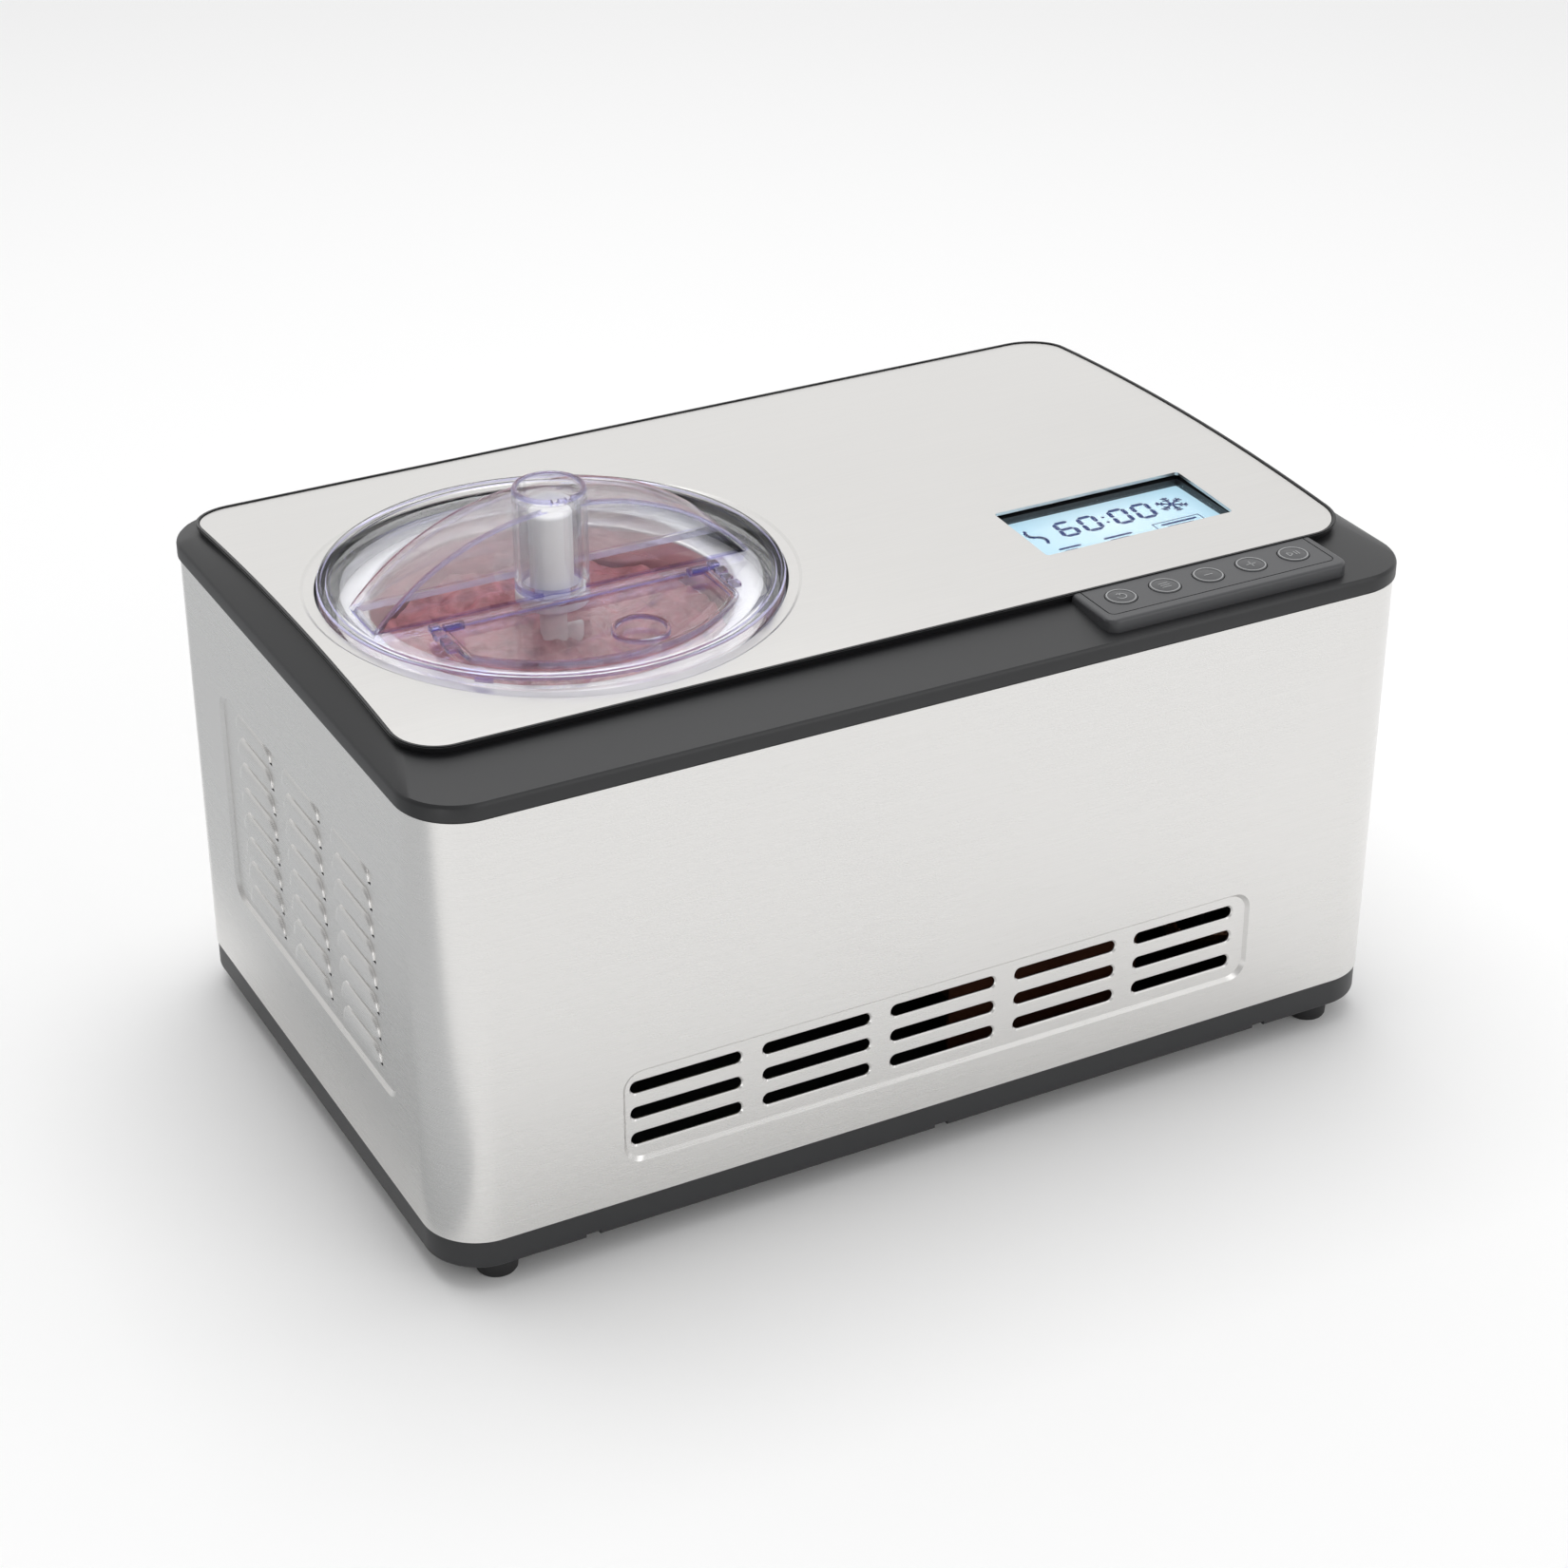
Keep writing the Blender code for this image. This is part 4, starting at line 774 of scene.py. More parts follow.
def lip(inset, height):
    low = (frame_low.x + inset, frame_low.y + inset)
    high = (frame_high.x - inset, frame_high.y - inset)
    return [(x, y, height) for x, y in outline(low, high, FRAME_CORNER - inset)]


def rim_of_plate(spare, drop):
    low = (plate_low.x - spare, plate_low.y - spare)
    high = (plate_high.x + spare, plate_high.y + spare)
    return [(x, y, arch(y) - drop) for x, y in outline(low, high, PLATE_CORNER + spare)]


levels = [
    lip(0.003, frame_low.z),
    lip(0.0006, frame_low.z),
    lip(0.0, frame_low.z + 0.0006),
    lip(0.0, RIDGE - 0.0016),
    lip(0.0003, RIDGE - 0.0007),
    lip(0.0010, RIDGE + 0.0001),
    rim_of_plate(FRAME_GAP + 0.0016, -0.0001),
    rim_of_plate(FRAME_GAP + 0.0012, -0.0005),
    rim_of_plate(FRAME_GAP + 0.0003, -0.0005),
    rim_of_plate(FRAME_GAP, -0.0002),
    rim_of_plate(FRAME_GAP, 0.0030),
]
rings = [drawn(f"level_{i}", points, closed=True) for i, points in enumerate(levels)]
top_frame = joined("top_frame_moulding", rings)
with editing(top_frame):
    bpy.ops.mesh.bridge_edge_loops()
    bpy.ops.mesh.select_all(action="SELECT")
    bpy.ops.mesh.normals_make_consistent(inside=False)
place(top_frame, frame_plastic, "case", "frame_plastic", ["top_frame"], smooth=40)

# %% [markdown]
# ## The arched steel plate
#
# The plate is made flat, as the sheet is before it is formed: a rounded outline, the lid's hole
# with its shallow pressed ring, the screen's window, and a softened edge. Then it is divided into
# strips and each point is raised to the arch, as a press would do.

# %% Flat plate
PLATE_THICKNESS = 0.0012
bowl_low, bowl_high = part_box("bowl")
lid_low, lid_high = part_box("lid")
AXIS = Vector(((lid_low.x + lid_high.x) / 2, (lid_low.y + lid_high.y) / 2, 0))
LID_R = (lid_high.x - lid_low.x) / 2
HOLE_R = LID_R + 0.001
RING_R = LID_R + 0.0062

plate = rounded_block(
    "top_plate_sheet",
    (plate_low.x, plate_low.y, -PLATE_THICKNESS),
    (plate_high.x, plate_high.y, 0),
    PLATE_CORNER,
    steps=14,
)
profile = [(HOLE_R - 0.004, 0.002), (RING_R + 0.0002, 0.002), (RING_R, 0)]
profile += [(RING_R - 0.0012, -0.00055), (HOLE_R - 0.004, -0.0008)]
combine(plate, turned("ring_tool", profile, AXIS, steps=160))
combine(plate, rod("hole_tool", AXIS - up(0.01), AXIS + up(0.01), HOLE_R, 160))
lens_low, lens_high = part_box("screen_lens")
window = rounded_block(
    "window_tool",
    (lens_low.x - FIT, lens_low.y - FIT, -0.01),
    (lens_high.x + FIT, lens_high.y + FIT, 0.01),
    0.0016,
)
combine(plate, window)
with editing(plate):
    for row in range(1, ARCH_ROWS):
        y = plate_low.y + (plate_high.y - plate_low.y) * row / ARCH_ROWS
        bpy.ops.mesh.select_all(action="SELECT")
        bpy.ops.mesh.bisect(plane_co=(0, y, 0), plane_no=(0, 1, 0))
for vert in plate.data.vertices:
    vert.co.z += arch(vert.co.y)
place(plate, top_steel, "case", "steel_wall", ["top_plate"], smooth=20)

# %% [markdown]
# ## The control pad
#
# The pad is a wedge on the sloping fascia: a level top, a bright bevel along its front edge, and a
# dark face down to the lip. A fine groove runs round the top a little inside its edge.

# %% Pad body
pad_low, pad_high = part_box("control_pad")
key_boxes = {key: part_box(f"key_{key}") for key in KEYS}
pad_top = pad_high.z
PAD_CORNER = 0.005
PAD_BEVEL = 0.00156
KEY_PLAY = 0.00025
pad = rounded_block(
    "control_pad_moulding",
    (pad_low.x, pad_low.y, RIDGE - 0.001),
    (pad_high.x, pad_high.y + 0.006, pad_top),
    PAD_CORNER,
    steps=8,
)
with editing(pad):
    slice_off((0, pad_high.y, 0), (0, 1, 0))
    rear = pad_high.y - 1e-4
    pick(pad, "EDGE", lambda middle, edge: abs(middle.z - pad_top) < 1e-6 and middle.y < rear)
    bevel(PAD_BEVEL, 4)


def groove_tool(side, front, corner, depth, beyond):
    """A rounded block over the pad's top, in from its sides and front and out past its rear."""
    low = (pad_low.x + side, pad_low.y + front, pad_top - depth)
    high = (pad_high.x - side, pad_high.y + 10 * beyond, pad_top + 0.001 + beyond)
    return rounded_block("groove_tool", low, high, corner)


groove = combine(
    groove_tool(0.0034, 0.0046, 0.003, 0.0005, 0.001), groove_tool(0.0039, 0.0051, 0.0025, 0.001, 0.002)
)
combine(pad, groove)
for low, high in key_boxes.values():
    middle = (low + high) / 2
    bore = (high.x - low.x) / 2 + KEY_PLAY
    ends = [(middle.x, middle.y, z) for z in (RIDGE - 0.01, pad_top + 0.01)]
    combine(pad, rod("key_bore", *ends, bore))
place(pad, pad_plastic, "case", "pad_plastic", ["control_pad"], smooth=30, weighted=True)

# %% [markdown]
# ## The keys
#
# Each key is a low disc with a soft edge, a pale printed ring and a plain sign: power, menu,
# minus, plus, and start or pause. The signs are thin raised prints that ride with their key.


# %% Key discs and signs
PRINT_T = 0.00012
SIGN_LINE = 0.00042


def print_ring(centre, radius, width, z, start=0.0, sweep=math.tau):
    """A thin printed ring, or an arc of one, standing a hair over the surface."""
    inner, outer = radius - width / 2, radius + width / 2
    corners = [(inner, z), (outer, z), (outer, z + PRINT_T), (inner, z + PRINT_T)]
    turn = Matrix.Rotation(start, 3, "Z")
    points = [Vector(centre) + turn @ Vector((r, 0, 0)) + up(height) for r, height in corners]
    line = drawn("print", points, closed=True)
    steps = max(8, int(56 * sweep / math.tau))
    with editing(line):
        bpy.ops.mesh.edge_face_add()
        bpy.ops.mesh.spin(steps=steps, angle=sweep, center=centre, axis=(0, 0, 1), use_auto_merge=True)
    return tidy(line)


def print_bar(start, end, width, z):
    """A thin printed bar between two places in plan."""
    start, end = Vector((*start, 0)), Vector((*end, 0))
    length = (end - start).length
    far = (length, width / 2, PRINT_T)
    bar = rounded_block("print", (0, -width / 2, 0), far, width * 0.45, steps=3)
    bar.rotation_euler = (0, 0, math.atan2(end.y - start.y, end.x - start.x))
    bar.location = start + up(z)
    return settle(bar)


def sign(kind, x, y, z):
    """The printed sign of one key, about 4 mm across."""
    lines = {
        "power": [((0, 0.0006), (0, 0.0027))],
        "menu": [((-0.0021, dy), (0.0021, dy)) for dy in (-0.0015, 0, 0.0015)],
        "minus": [((-0.0020, 0), (0.0020, 0))],
        "plus": [((-0.0022, 0), (0.0022, 0)), ((0, -0.0022), (0, 0.0022))],
        "start": [
            ((-0.0024, 0.0016), (-0.0024, -0.0016)),
            ((-0.0024, -0.0016), (-0.0002, 0)),
            ((-0.0002, 0), (-0.0024, 0.0016)),
            ((0.0010, -0.0015), (0.0010, 0.0015)),
            ((0.0022, -0.0015), (0.0022, 0.0015)),
        ],
    }
    made = []
    if kind == "power":
        opening = math.radians(125), math.radians(290)
        made.append(print_ring((x, y, 0), 0.0021, SIGN_LINE, z, *opening))
    for (ax, ay), (bx, by) in lines[kind]:
        made.append(print_bar((x + ax, y + ay), (x + bx, y + by), SIGN_LINE, z))
    return made


for key, (low, high) in key_boxes.items():
    middle = (low + high) / 2
    r = (high.x - low.x) / 2
    top = high.z
    profile = [(0, top), (r - 0.0004, top), (r - 0.0001, top - 0.0001), (r, top - 0.0004)]
    profile += [(r, low.z), (0, low.z)]
    disc = turned(f"key_{key}_cap", profile, middle, steps=64, closed=False)
    place(disc, pad_plastic, f"key_{key}", "pad_plastic", [f"key_{key}"])
    ring = print_ring((middle.x, middle.y, 0), r - 0.0007, 0.0005, top)
    mark = joined(f"key_{key}_print", [ring, *sign(key, middle.x, middle.y, top)])
    place(mark, ring_print, f"key_{key}", "pad_plastic")

# %% [markdown]
# ## The screen
#
# The screen lies a few millimetres under the plate, inside a dark frame. A pale blue sheet glows
# behind the glass, a little brighter in its middle. The dark segments are thin solids on it: a
# clock reading, a two-bladed paddle sign, a snow crystal, and plain bars in place of words.

# %% Backlight and segment finishes
module_low, module_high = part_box("screen_module")
SCREEN = (module_low + module_high) / 2
SCREEN.z = module_high.z

glow = Finish("backlight", Roughness=0.35, Specular_IOR_Level=0.1, Emission_Strength=0.72)
GLOW_FALL = Vector((14, 22, 0))
spread_out = glow.position(shift=-SCREEN * GLOW_FALL, scale=GLOW_FALL)
reach = glow.node("ShaderNodeVectorMath", {0: spread_out}, output="Value", operation="LENGTH")
glow.feed(Base_Color=glow.mix(reach, (0.16, 0.24, 0.28), (0.06, 0.14, 0.22)))
glow.feed(Emission_Color=glow.mix(reach, (0.80, 0.95, 1.0), (0.48, 0.80, 0.97)))
segment_ink = Finish("segment_ink", Roughness=0.5, Specular_IOR_Level=0.1)
ink_grain = segment_ink.noise(segment_ink.position(), 900.0)
segment_ink.feed(Base_Color=segment_ink.mix(ink_grain, (0.008, 0.022, 0.13), (0.014, 0.035, 0.18)))

nodes["screen_module"].data.materials.clear()
nodes["screen_module"].data.materials.append(glow.material)

# %% [markdown]
# A digit is seven bars, and a table says which of them are lit. The whole reading leans a little,
# as such digits do, and each bar is a flat block with its corners cut to points.

# %% Segments
INK_T = 0.0001
DIGIT_W, DIGIT_H = 0.0068, 0.0118
STROKE = 0.0019
READING_Y = 0.0052
LIT = {"0": "abcdef", "6": "acdefg"}


def ink(name, x, y, length, width, turn=0.0, point=0.48):
    """A flat bar of the screen, centred at a place measured from the screen's middle."""
    bar = block(name, (-length / 2, -width / 2, 0), (length / 2, width / 2, INK_T))
    with editing(bar):
        pick(bar, "EDGE", lambda middle, edge: along(edge, 2))
        bevel(width * point, 1)
    bar.rotation_euler = (0, 0, turn)
    bar.location = SCREEN + Vector((x, y, 0.00002))
    return settle(bar)


def digit(figure, x, y):
    half = DIGIT_H / 2
    across = DIGIT_W - STROKE * 0.4
    down = half - STROKE * 0.2
    lean = math.radians(-6)
    spots = {
        "a": (0, half, 0), "g": (0, 0, 0), "d": (0, -half, 0),
        "f": (-DIGIT_W / 2, half / 2, 1), "b": (DIGIT_W / 2, half / 2, 1),
        "e": (-DIGIT_W / 2, -half / 2, 1), "c": (DIGIT_W / 2, -half / 2, 1),
    }
    bars = []
    for segment in LIT[figure]:
        dx, dy, upright = spots[segment]
        length, turn = (down, math.pi / 2 + lean) if upright else (across, 0)
        bars.append(ink("segment", x + dx - dy * math.tan(lean), y + dy, length, STROKE, turn))
    return bars


reading = []
for figure, x in (("6", -0.0185), ("0", -0.0075), ("0", 0.0070), ("0", 0.0180)):
    reading += digit(figure, x, READING_Y)
for dy in (-0.0024, 0.0024):
    reading.append(ink("colon", -0.0002 + dy * 0.1, READING_Y + dy, 0.0014, 0.0014, point=0.3))

crystal = Vector((0.0315, READING_Y))
for arm in range(6):
    turn = arm * math.pi / 3 + math.pi / 6
    way = Vector((math.cos(turn), math.sin(turn)))
    spot = crystal + way * 0.0035
    reading.append(ink("crystal", spot.x, spot.y, 0.0066, 0.0010, turn))
    for side in (-1, 1):
        fork = turn + side * math.radians(52)
        for reach_out in (0.0032, 0.0050):
            tip = crystal + way * reach_out + Vector((math.cos(fork), math.sin(fork))) * 0.0010
            reading.append(ink("crystal_twig", tip.x, tip.y, 0.0021, 0.0008, fork))

blades = Vector((-0.0335, 0.0040))
for side in (0, math.pi):
    for step in range(5):
        turn = side + math.radians(158 - 13 * step)
        spot = blades + Vector((math.cos(turn), math.sin(turn))) * (0.0010 + 0.0013 * step)
        width = 0.0022 - 0.00024 * step
        reading.append(ink("blade", spot.x, spot.y, 0.0026, width, turn - math.radians(20), 0.45))

for x, length in ((-0.0265, 0.0105), (-0.0040, 0.0135), (0.0250, 0.0170)):
    for row in (0, 1):
        spot = (x - 0.0006 * row, -0.0098 - 0.0026 * row)
        reading.append(ink("mode_bar", *spot, length - 0.004 * row, 0.0013))
BOX_W, BOX_H, BOX_LINE = 0.0220, 0.0068, 0.0004
BOX_X, BOX_Y = 0.0246, -0.0110
for way in (-0.5, 0.5):
    reading.append(ink("mode_frame", BOX_X, BOX_Y + way * BOX_H, BOX_W, BOX_LINE, 0, 0.2))
for way in (-0.5, 0.5):
    reading.append(ink("mode_frame", BOX_X + way * BOX_W, BOX_Y, BOX_H, BOX_LINE, math.pi / 2, 0.2))
segments = joined("screen_segments", reading)
place(segments, segment_ink.material, "case", "screen")

# %% [markdown]
# ## The bowl and the freezer well
#
# Both are turned about the same upright axis from a closed profile. Rounded corners are arcs in
# that profile: the bowl's rolled rim, the lip over its wall, and the wide curve at its floor.

# %% Levels of the bowl
FLANGE_R = (bowl_high.x - bowl_low.x) / 2
METAL = 0.0012
BOWL_IN = FLANGE_R - 0.0132
BOWL_OUT = BOWL_IN + METAL
HEEL = 0.008
CHIMNEY_IN, CHIMNEY_UP = 0.0066, 0.035


def arc(r, z, radius, start, end, steps=6):
    """Points of an arc in a turned profile, in degrees from straight outwards."""
    angles = [math.radians(start + (end - start) * i / steps) for i in range(steps + 1)]
    return [(r + radius * math.cos(angle), z + radius * math.sin(angle)) for angle in angles]


# %% Bowl
top, low = bowl_high.z, bowl_low.z
chimney_out = CHIMNEY_IN + METAL
profile = arc(FLANGE_R - METAL / 2, top - METAL / 2, METAL / 2, -90, 90)
profile += arc(BOWL_IN + 0.0015, top - 0.0015, 0.0015, 90, 180)
profile += arc(BOWL_IN - HEEL, low + METAL + HEEL, HEEL, 0, -90, 10)
profile += arc(chimney_out + 0.001, low + METAL + 0.001, 0.001, 270, 180, 3)
profile += arc((CHIMNEY_IN + chimney_out) / 2, low + CHIMNEY_UP - METAL / 2, METAL / 2, 0, 180)
profile += [(CHIMNEY_IN, low + 0.0004), (CHIMNEY_IN + 0.0006, low)]
profile += arc(BOWL_IN - HEEL, low + METAL + HEEL, HEEL + METAL, -90, 0, 10)
profile += arc(BOWL_OUT + 0.001, top - METAL - 0.001, 0.001, 180, 90, 3)
bowl = turned("spun_bowl", profile, AXIS)
place(bowl, bowl_metal, "bowl", "bare_aluminium", ["bowl"])

# %% Freezer well
well_low, well_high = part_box("freezer_well")
SHEET = 0.001
well_in = BOWL_OUT + 0.0018
seal_hole = 0.0061
profile = [(FLANGE_R, well_high.z), (FLANGE_R, well_high.z - SHEET)]
profile += arc(well_in + SHEET + 0.001, well_high.z - SHEET - 0.001, 0.001, 90, 180, 3)
profile += arc(well_in - 0.002, well_low.z + SHEET + 0.002, 0.002 + SHEET, 0, -90, 5)
profile += [(seal_hole, well_low.z), (seal_hole, well_low.z + SHEET)]
profile += arc(well_in - 0.002, well_low.z + SHEET + 0.002, 0.002, -90, 0, 5)
profile += arc(well_in + 0.001, well_high.z - 0.001, 0.001, 180, 90, 3)
well = turned("drawn_well", profile, AXIS)
place(well, bowl_metal, "case", "bare_aluminium", ["freezer_well"])

# %% [markdown]
# ## The paddle and the ice cream
#
# The stem, its collar and the sleeve over the drive are one turned shape. Two upright blades and a
# small flag are joined to it. The ice cream is a turned mass whose top is raised into soft lumps
# by two cloud textures, with a hollow round the sleeve, and it turns with the paddle.

# %% Paddle
PANEL_TOP = lid_high.z - 0.039
RIM_TOP = PANEL_TOP + 0.0035
PANEL_LOW = PANEL_TOP - 0.0022
HUB_LOW = PANEL_LOW - 0.001
HUB_TOP = lid_high.z
RUN = 0.0006
STEM_R = 0.0053
paddle_low, paddle_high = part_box("paddle")
collar_top = HUB_LOW - RUN
shaft_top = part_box("drive_shaft")[1].z
sleeve_in = chimney_out + RUN
sleeve_out = sleeve_in + 0.003
socket = 0.0046
shoulder = low + CHIMNEY_UP + 0.002
COLLAR_R, COLLAR_T = 0.0145, 0.005
SPIGOT_R = 0.0085
profile = [(0, paddle_high.z)]
profile += arc(SPIGOT_R - 0.0012, paddle_high.z - 0.0012, 0.0012, 90, 0)
profile += arc(SPIGOT_R + 0.0008, collar_top + 0.0008, 0.0008, 180, 270, 3)
profile += arc(COLLAR_R - 0.0008, collar_top - 0.0008, 0.0008, 90, 0, 4)
profile += arc(COLLAR_R - 0.0008, collar_top - COLLAR_T + 0.0008, 0.0008, 0, -90, 4)
profile += arc(STEM_R + 0.002, collar_top - COLLAR_T - 0.002, 0.002, 90, 180, 4)
profile += [(STEM_R, shaft_top + 0.010), (sleeve_out, shaft_top), (sleeve_out, paddle_low.z)]
profile += [(sleeve_in, paddle_low.z), (sleeve_in, shoulder), (socket, shoulder)]
profile += [(socket, shaft_top + RUN), (0, shaft_top + RUN)]
paddle = turned("churning_paddle", profile, AXIS, steps=96, closed=False)

BLADE_T = 0.004
BLADE_TIP = BOWL_IN - 0.004
BLADE_TOP = collar_top - COLLAR_T - 0.0224


def blade(side):
    """One upright blade, whose top edge falls from the sleeve to the bowl's wall."""
    root = sleeve_out - 0.001
    plate = block("blade", (root, -BLADE_T / 2, paddle_low.z), (BLADE_TIP, BLADE_T / 2, BLADE_TOP))
    with editing(plate):
        slice_off((root + 0.005, 0, BLADE_TOP), (0.83, 0, 1))
        slice_off((BOWL_IN - HEEL - 0.004, 0, paddle_low.z), (1, 0, -1))
        pick(plate, "EDGE", lambda middle, edge: middle.x > root + 1e-4)
        bevel(0.0012, 3)
        bpy.ops.mesh.select_all(action="SELECT")
        resize(side, 1, 1)
        bpy.ops.transform.translate(value=AXIS)
    return tidy(plate)


for side in (1, -1):
    combine(paddle, blade(side), "UNION")
FLAG_LOW, FLAG_HIGH = BLADE_TOP - 0.002, BLADE_TOP + 0.0105
flag = block("flag", (AXIS.x + 0.003, -0.0012, FLAG_LOW), (AXIS.x + 0.0125, 0.0012, FLAG_HIGH))
with editing(flag):
    bevel(0.0008, 3)
combine(paddle, flag, "UNION")
place(paddle, white_plastic, "paddle", "white_plastic", ["paddle"])

# %% Ice cream
BATCH_TOP = BLADE_TOP + 0.0055
BATCH_LOW = paddle_low.z + 0.006
rows = 26
side_r = BOWL_IN - 0.0007
profile = [(0, BATCH_TOP - 0.002)]
profile += [(side_r * i / rows, BATCH_TOP + 0.0015 * math.sin(i * 1.3)) for i in range(1, rows)]
profile += [(side_r, BATCH_TOP - 0.0045), (side_r, BATCH_LOW), (0.010, BATCH_LOW)]
profile += [(0.010, shaft_top - 0.002), (0.0047, shaft_top + 0.010), (0, shaft_top + 0.010)]
batch = turned("ice_cream_batch", profile, AXIS, steps=160, closed=False)
top_rows = batch.vertex_groups.new(name="top")
top_rows.add([v.index for v in batch.data.vertices if v.co.z > BATCH_TOP - 0.004], 1.0, "REPLACE")
for cloud_size, rise in ((0.017, 0.0115), (0.0055, 0.0030)):
    lumps = bpy.data.textures.new("lumps", "CLOUDS")
    lumps.noise_scale = cloud_size
    lumps.noise_depth = 3
    apply(batch, "DISPLACE", texture=lumps, strength=rise, mid_level=0.5, direction="Z", vertex_group="top")
churned = Finish("churned_cream")
streak = churned.noise(churned.position(), 130.0, detail=5.0, roughness=0.65)
fleck = churned.noise(churned.position(), 900.0, detail=3.0)
marbling = streak * 2.2 + fleck * 0.3 - 0.75
churned.feed(Base_Color=churned.mix(marbling, (0.13, 0.028, 0.042), (0.56, 0.22, 0.25)))
churned.feed(Roughness=fleck * 0.2 + 0.35)
churned.bump(streak * 0.7 + fleck * 0.3, 0.5, 0.0012)
place(batch, churned.material, "paddle", None, smooth=50)

# %% [markdown]
# ## The clear lid
#
# The lid is turned as one skin, with the rim's small steps in its profile. The handle is a slice
# of a lying cylinder, hollow from below, and the hub is a tube with a crown that stands through
# it. A D-shaped opening is cut in the front half, inside a raised outline.

# %% Lid skin
HUB_R, HUB_WALL = 0.0145, 0.0025
skirt_foot = lid_low.z
HATCH_R = LID_R - 0.018
HATCH_HALF, HATCH_BACK = 0.055, 0.020
HINGE = Vector((AXIS.x, -HATCH_BACK - 0.003, PANEL_TOP + 0.0014))

steps_of_rim = [
    (0.0092, -0.0035), (0.0084, -0.0032), (0.0054, -0.0008), (0.0049, -0.0004),
    (0.0039, -0.0004), (0.0035, -0.0010), (0.0019, -0.0009), (0.0015, -0.0002),
    (0.0006, 0.0), (0.0002, -0.0004), (0.0, -0.0010),
]
profile = [(0, PANEL_TOP)] + [(LID_R - inward, RIM_TOP + up) for inward, up in steps_of_rim]
profile += [(LID_R, skirt_foot + 0.0004), (LID_R - 0.0004, skirt_foot), (LID_R - 0.0016, skirt_foot)]
profile += [(LID_R - 0.0020, skirt_foot + 0.0004), (LID_R - 0.0020, PANEL_LOW - 0.0006)]
profile += [(LID_R - 0.0026, PANEL_LOW), (0, PANEL_LOW)]
lid = turned("clear_lid", profile, AXIS, steps=160, closed=False)

# %% Arched handle
HANDLE_RISE, HANDLE_HALF, HANDLE_WALL = 0.036, 0.0135, 0.002
ARCH_CORNER = 0.0015
half_span = LID_R - 0.011
arch_r = (half_span**2 + HANDLE_RISE**2) / (2 * HANDLE_RISE)
arch_centre = PANEL_TOP + HANDLE_RISE - arch_r


def arch_slice(name, radius, half_width, floor):
    """The part of a lying cylinder that stands above a floor."""
    ends = [(AXIS.x, way * half_width, arch_centre) for way in (-1, 1)]
    piece = rod(name, ends[0], ends[1], radius, 288)
    with editing(piece):
        slice_off((0, 0, floor), (0, 0, -1))
    return piece


def at_handle_side(middle, edge):
    return abs(abs(middle.y) - HANDLE_HALF) < 1e-6 and middle.z > PANEL_TOP


handle = arch_slice("handle", arch_r, HANDLE_HALF, PANEL_TOP - 0.001)
with editing(handle):
    pick(handle, "EDGE", at_handle_side)
    bevel(ARCH_CORNER, 3)
combine(lid, handle, "UNION")
hollow_floor = PANEL_LOW - 0.003
combine(lid, arch_slice("handle_hollow", arch_r - HANDLE_WALL, HANDLE_HALF - HANDLE_WALL, hollow_floor))


# %% Filler opening
def flap(name, spare, low, high):
    """The hatch's outline between two heights: a disc cut straight at its back and sides."""
    piece = rod(name, (AXIS.x, 0, low), (AXIS.x, 0, high), HATCH_R + spare, 192)
    half = HATCH_HALF + spare
    with editing(piece):
        slice_off((0, -HATCH_BACK + spare, 0), (0, 1, 0))
        for side in (1, -1):
            slice_off((AXIS.x + side * half, 0, 0), (side, 0, 0))
        at_side = half - 1e-4
        pick(piece, "EDGE", lambda middle, edge: along(edge, 2) and abs(middle.x - AXIS.x) > at_side)
        bevel(0.003, 4)
    return tidy(piece)


BEAD = 0.0012
bead = flap("bead", RUN + 0.0013, PANEL_TOP - 0.0005, PANEL_TOP + BEAD)
with editing(bead):
    pick(bead, "EDGE", lambda middle, edge: abs(middle.z - PANEL_TOP - BEAD) < 1e-6)
    bevel(0.0005, 2)
combine(lid, bead, "UNION")
combine(lid, flap("opening", RUN, PANEL_LOW - 0.01, PANEL_TOP + 0.01))

# %% Hub
combine(lid, rod("hub_way", AXIS + up(0.15), AXIS + up(0.30), HUB_R - 0.0005, 96))
hub_in = HUB_R - HUB_WALL
dish, roof = HUB_TOP - 0.004, HUB_TOP - 0.006
profile = [(0, dish), (hub_in - 0.0005, dish), (hub_in, dish + 0.0005)]
profile += arc(HUB_R - HUB_WALL / 2, HUB_TOP - 0.0011, HUB_WALL / 2 - 0.00015, 180, 0, 8)
profile += [(HUB_R, HUB_TOP - 0.0016), (HUB_R, HUB_LOW + 0.0004), (HUB_R - 0.0004, HUB_LOW)]
profile += [(hub_in, HUB_LOW), (hub_in, roof), (0, roof)]
combine(lid, turned("hub", profile, AXIS, steps=96, closed=False), "UNION")
CROWN_NOTCHES = (-80, -104)
CROWN_NOTCH = Vector((0.0012, 0.0022, 0))
for turn in CROWN_NOTCHES:
    way = Vector((math.cos(math.radians(turn)), math.sin(math.radians(turn)), 0))
    spot = AXIS + way * (HUB_R - HUB_WALL / 2)
    low, high = spot - CROWN_NOTCH + up(HUB_TOP - 0.0015), spot + CROWN_NOTCH + up(HUB_TOP + 0.01)
    combine(lid, block("crown_notch", low, high))

# %% [markdown]
# The hinge knuckles are rows of small cut blocks beside the opening, clear as crystal, and their
# faces take the painted edge shade of the plastic. The rear block of each row holds the hatch's pin.

# %% Hinge knuckles
KNUCKLE_NEAR = HATCH_HALF + 2 * RUN
KNUCKLE_FAR = KNUCKLE_NEAR + 0.004
KNUCKLE_PITCH, KNUCKLE_DEPTH = 0.0056, 0.0048
PIN_BORE_R = 0.0012


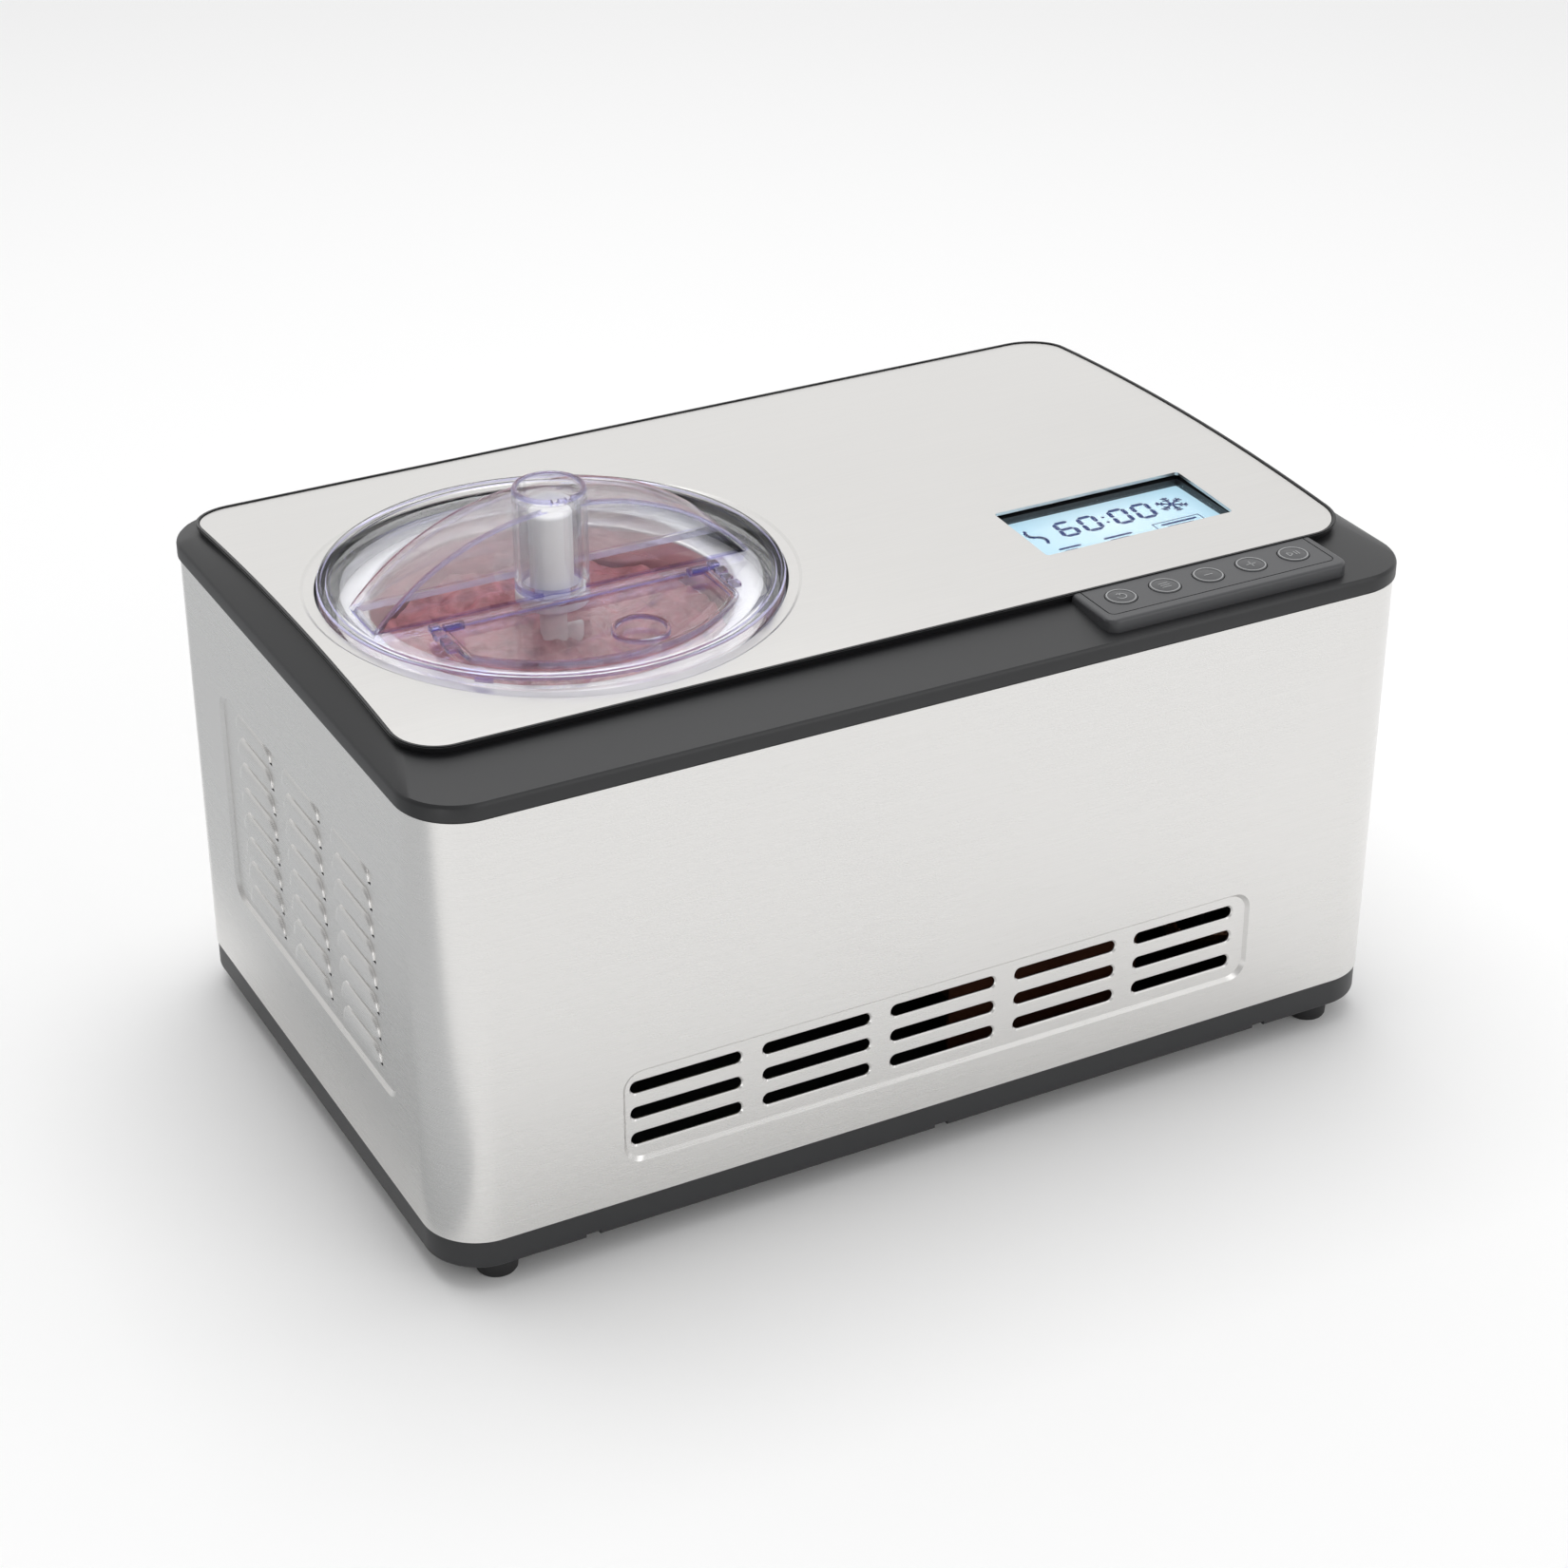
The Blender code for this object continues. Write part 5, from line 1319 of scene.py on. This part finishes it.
def hinge_rod(name, side, near, far, radius, steps):
    """A bar on the hinge line, between two distances from the lid's middle."""
    ends = [HINGE + Vector((side * reach, 0, 0)) for reach in (near, far)]
    return rod(name, *ends, radius, steps)


for side in (-1, 1):
    for row in range(4):
        far = KNUCKLE_FAR + 0.0006 * (row % 2)
        xs = sorted(AXIS.x + side * reach for reach in (KNUCKLE_NEAR, far))
        back = HINGE.y + 0.003 - row * KNUCKLE_PITCH
        crest = PANEL_TOP + 0.0034 - 0.0004 * row
        foot = (xs[0], back - KNUCKLE_DEPTH, PANEL_TOP - 0.001)
        knuckle = block("knuckle", foot, (xs[1], back, crest))
        with editing(knuckle):
            pick(knuckle, "EDGE", lambda middle, edge: middle.z > PANEL_TOP)
            bevel(0.0008, 2)
        combine(lid, knuckle, "UNION")
    combine(lid, hinge_rod("pin_bore", side, KNUCKLE_NEAR - 0.002, KNUCKLE_FAR + 0.003, PIN_BORE_R, 24))

# %% Painted shade on the lid's edges
FOOT_BAND = 0.0005
with editing(lid):
    bpy.ops.mesh.bisect(plane_co=(0, 0, PANEL_TOP + FOOT_BAND), plane_no=(0, 0, 1))


def shaded_edge_face(middle, face):
    """Narrow faces that get the painted shade of the plastic's edges: rims, joins, the arch's corners, the
    knuckles.
    """
    reach = (Vector((middle.x, middle.y, 0)) - AXIS).length
    height, aside, sideways = middle.z, abs(middle.y), abs(face.normal.y)
    upright = abs(face.normal.z) < 0.85
    in_panel = (
        PANEL_LOW - 0.0015 < height < PANEL_TOP + BEAD
        and reach < LID_R - 0.010
        and middle.y > -HANDLE_HALF - 0.001
    )
    on_rim = reach > LID_R - 0.0057 and height > RIM_TOP - 0.0012
    on_crown = reach < HUB_R + 0.001 and height > HUB_TOP - 0.0022
    arch_corner = (
        HANDLE_HALF - ARCH_CORNER < aside < HANDLE_HALF
        and 0.15 < sideways < 0.985
        and HUB_R + 0.001 < reach < LID_R - 0.009
        and height > PANEL_TOP
    )
    on_knuckle = (
        KNUCKLE_NEAR - 0.001 < abs(middle.x - AXIS.x) < KNUCKLE_FAR + 0.002
        and middle.y < HINGE.y + 0.004
        and height > PANEL_TOP + 0.0004
    )
    return (upright and (in_panel or on_rim)) or on_crown or arch_corner or on_knuckle


place(lid, lid_plastic, "lid", "clear_plastic", ["lid"], weighted=True)
# The narrow faces get the deep violet, painted shade for the light bent away at the plastic's edges.
second_finish(lid, shaded_edge_plastic, shaded_edge_face)

# %% [markdown]
# ## The filler hatch
#
# The hatch is the same outline, a running gap smaller all round, with a raised border, a finger
# disc at its front, and two barrels on the hinge line.

# %% Hatch
HATCH_TOP = PANEL_TOP - 0.0002
HATCH_LOW = HATCH_TOP - 0.002
BORDER, BORDER_RISE = 0.0016, 0.0009
hatch = flap("clear_hatch", 0, HATCH_LOW, HATCH_TOP + BORDER_RISE)
with editing(hatch):
    pick(hatch, "EDGE", lambda middle, edge: abs(middle.z - HATCH_TOP - BORDER_RISE) < 1e-6)
    bevel(0.0004, 2)
combine(hatch, flap("hatch_floor", -BORDER, HATCH_TOP, HATCH_TOP + 0.01))
DISC = Vector((AXIS.x + 0.0105, -HATCH_R + 0.0155, 0))
DISC_R = 0.0112
profile = [(0, HATCH_TOP - 0.0005), (0, HATCH_TOP + 0.0002), (DISC_R - 0.0018, HATCH_TOP + 0.0004)]
profile += arc(DISC_R - 0.0008, HATCH_TOP + 0.0013, 0.0008, 180, 0, 6) + [(DISC_R, HATCH_TOP - 0.0005)]
combine(hatch, turned("finger_disc", profile, DISC, steps=72, closed=False), "UNION")
for side in (-1, 1):
    combine(hatch, hinge_rod("barrel", side, HATCH_HALF - 0.008, HATCH_HALF - FIT, 0.0019, 32), "UNION")
    bore = hinge_rod("barrel_bore", side, HATCH_HALF - 0.007, HATCH_HALF + 0.002, PIN_BORE_R, 24)
    combine(hatch, bore)
place(hatch, hatch_plastic, "hatch", "clear_plastic", ["filler_hatch"], weighted=True)
# The hatch's upright faces get the same deep violet, painted edge shade.
second_finish(hatch, shaded_edge_plastic, lambda middle, face: abs(face.normal.z) < 0.85)

# %% [markdown]
# ## The studio
#
# A plain pale floor and large soft lights, as in a product picture: one broad light above, one
# large panel in front and to the right for the steel front, and a weaker one on the left.


# %% Floor, lights and world
def soft_light(name, place, aim, size, power):
    data = bpy.data.lights.new(name, "AREA")
    data.shape = "RECTANGLE"
    data.size, data.size_y = size
    data.energy = power
    light = bpy.data.objects.new(name, data)
    scene.collection.objects.link(light)
    light.location = place
    light.rotation_mode = "QUATERNION"
    light.rotation_quaternion = (Vector(aim) - Vector(place)).to_track_quat("-Z", "Y")
    return light


bpy.ops.object.select_all(action="DESELECT")
bpy.ops.mesh.primitive_plane_add(size=30)
floor = bpy.context.object
floor.name = "studio_floor"
floor_finish = Finish("studio_floor", Base_Color=(0.93, 0.93, 0.93), Roughness=0.9)
floor.data.materials.append(floor_finish.material)

soft_light("overhead", (0.0, 0.38, 1.9), (0, 0, 0.1), (1.5, 1.2), 14)
soft_light("front_panel", (1.1, -2.4, 1.2), (0, 0, 0.15), (2.2, 1.6), 13)
soft_light("corner_strip", (-1.0, -0.85, 0.20), (-0.2, -0.1, 0.10), (0.12, 0.40), 0.7)

# %% [markdown]
# A grey card lies on the floor to the left and behind, as a photographer would lay one, and only
# reflections see it. It keeps the left side of the steel darker than the front.

# %% Grey card
CARD_LOW, CARD_HIGH = (-1.3, -0.22, 0.002), (-0.235, 1.6, 0.003)
card = block("grey_card", CARD_LOW, CARD_HIGH)
card_finish = Finish("grey_card", Base_Color=(0.56, 0.57, 0.58), Roughness=0.9)
card.data.materials.append(card_finish.material)
for kind in ("camera", "diffuse", "transmission", "shadow"):
    setattr(card, f"visible_{kind}", False)

# %% [markdown]
# The steel top mirrors what is behind the machine, and the steel front mirrors the floor. So the
# surroundings are brightest behind and dimmest on the left, which shades the three faces apart.

# %% World
world = bpy.data.worlds.new("studio")
world.use_nodes = True
sky = world.node_tree
way = sky.nodes.new("ShaderNodeTexCoord")
split = sky.nodes.new("ShaderNodeSeparateXYZ")
sky.links.new(way.outputs["Generated"], split.inputs[0])


def sky_ramp(output, low, high, darkest, brightest):
    """Strength that rises with one component of the direction."""
    made = sky.nodes.new("ShaderNodeMapRange")
    sky.links.new(split.outputs[output], made.inputs["Value"])
    limits = {"From Min": low, "From Max": high, "To Min": darkest, "To Max": brightest}
    for key, value in limits.items():
        made.inputs[key].default_value = value
    return made.outputs["Result"]


strength = sky.nodes.new("ShaderNodeMath")
strength.operation = "MULTIPLY"
sky.links.new(sky_ramp("Y", -0.6, 0.8, 0.66, 1.10), strength.inputs[0])
sky.links.new(sky_ramp("X", -1.0, 0.1, 0.42, 1.0), strength.inputs[1])
sky.links.new(strength.outputs[0], sky.nodes["Background"].inputs["Strength"])
sky.nodes["Background"].inputs["Color"].default_value = (1.0, 1.0, 1.0, 1.0)
scene.world = world
scene.view_settings.view_transform = "Standard"
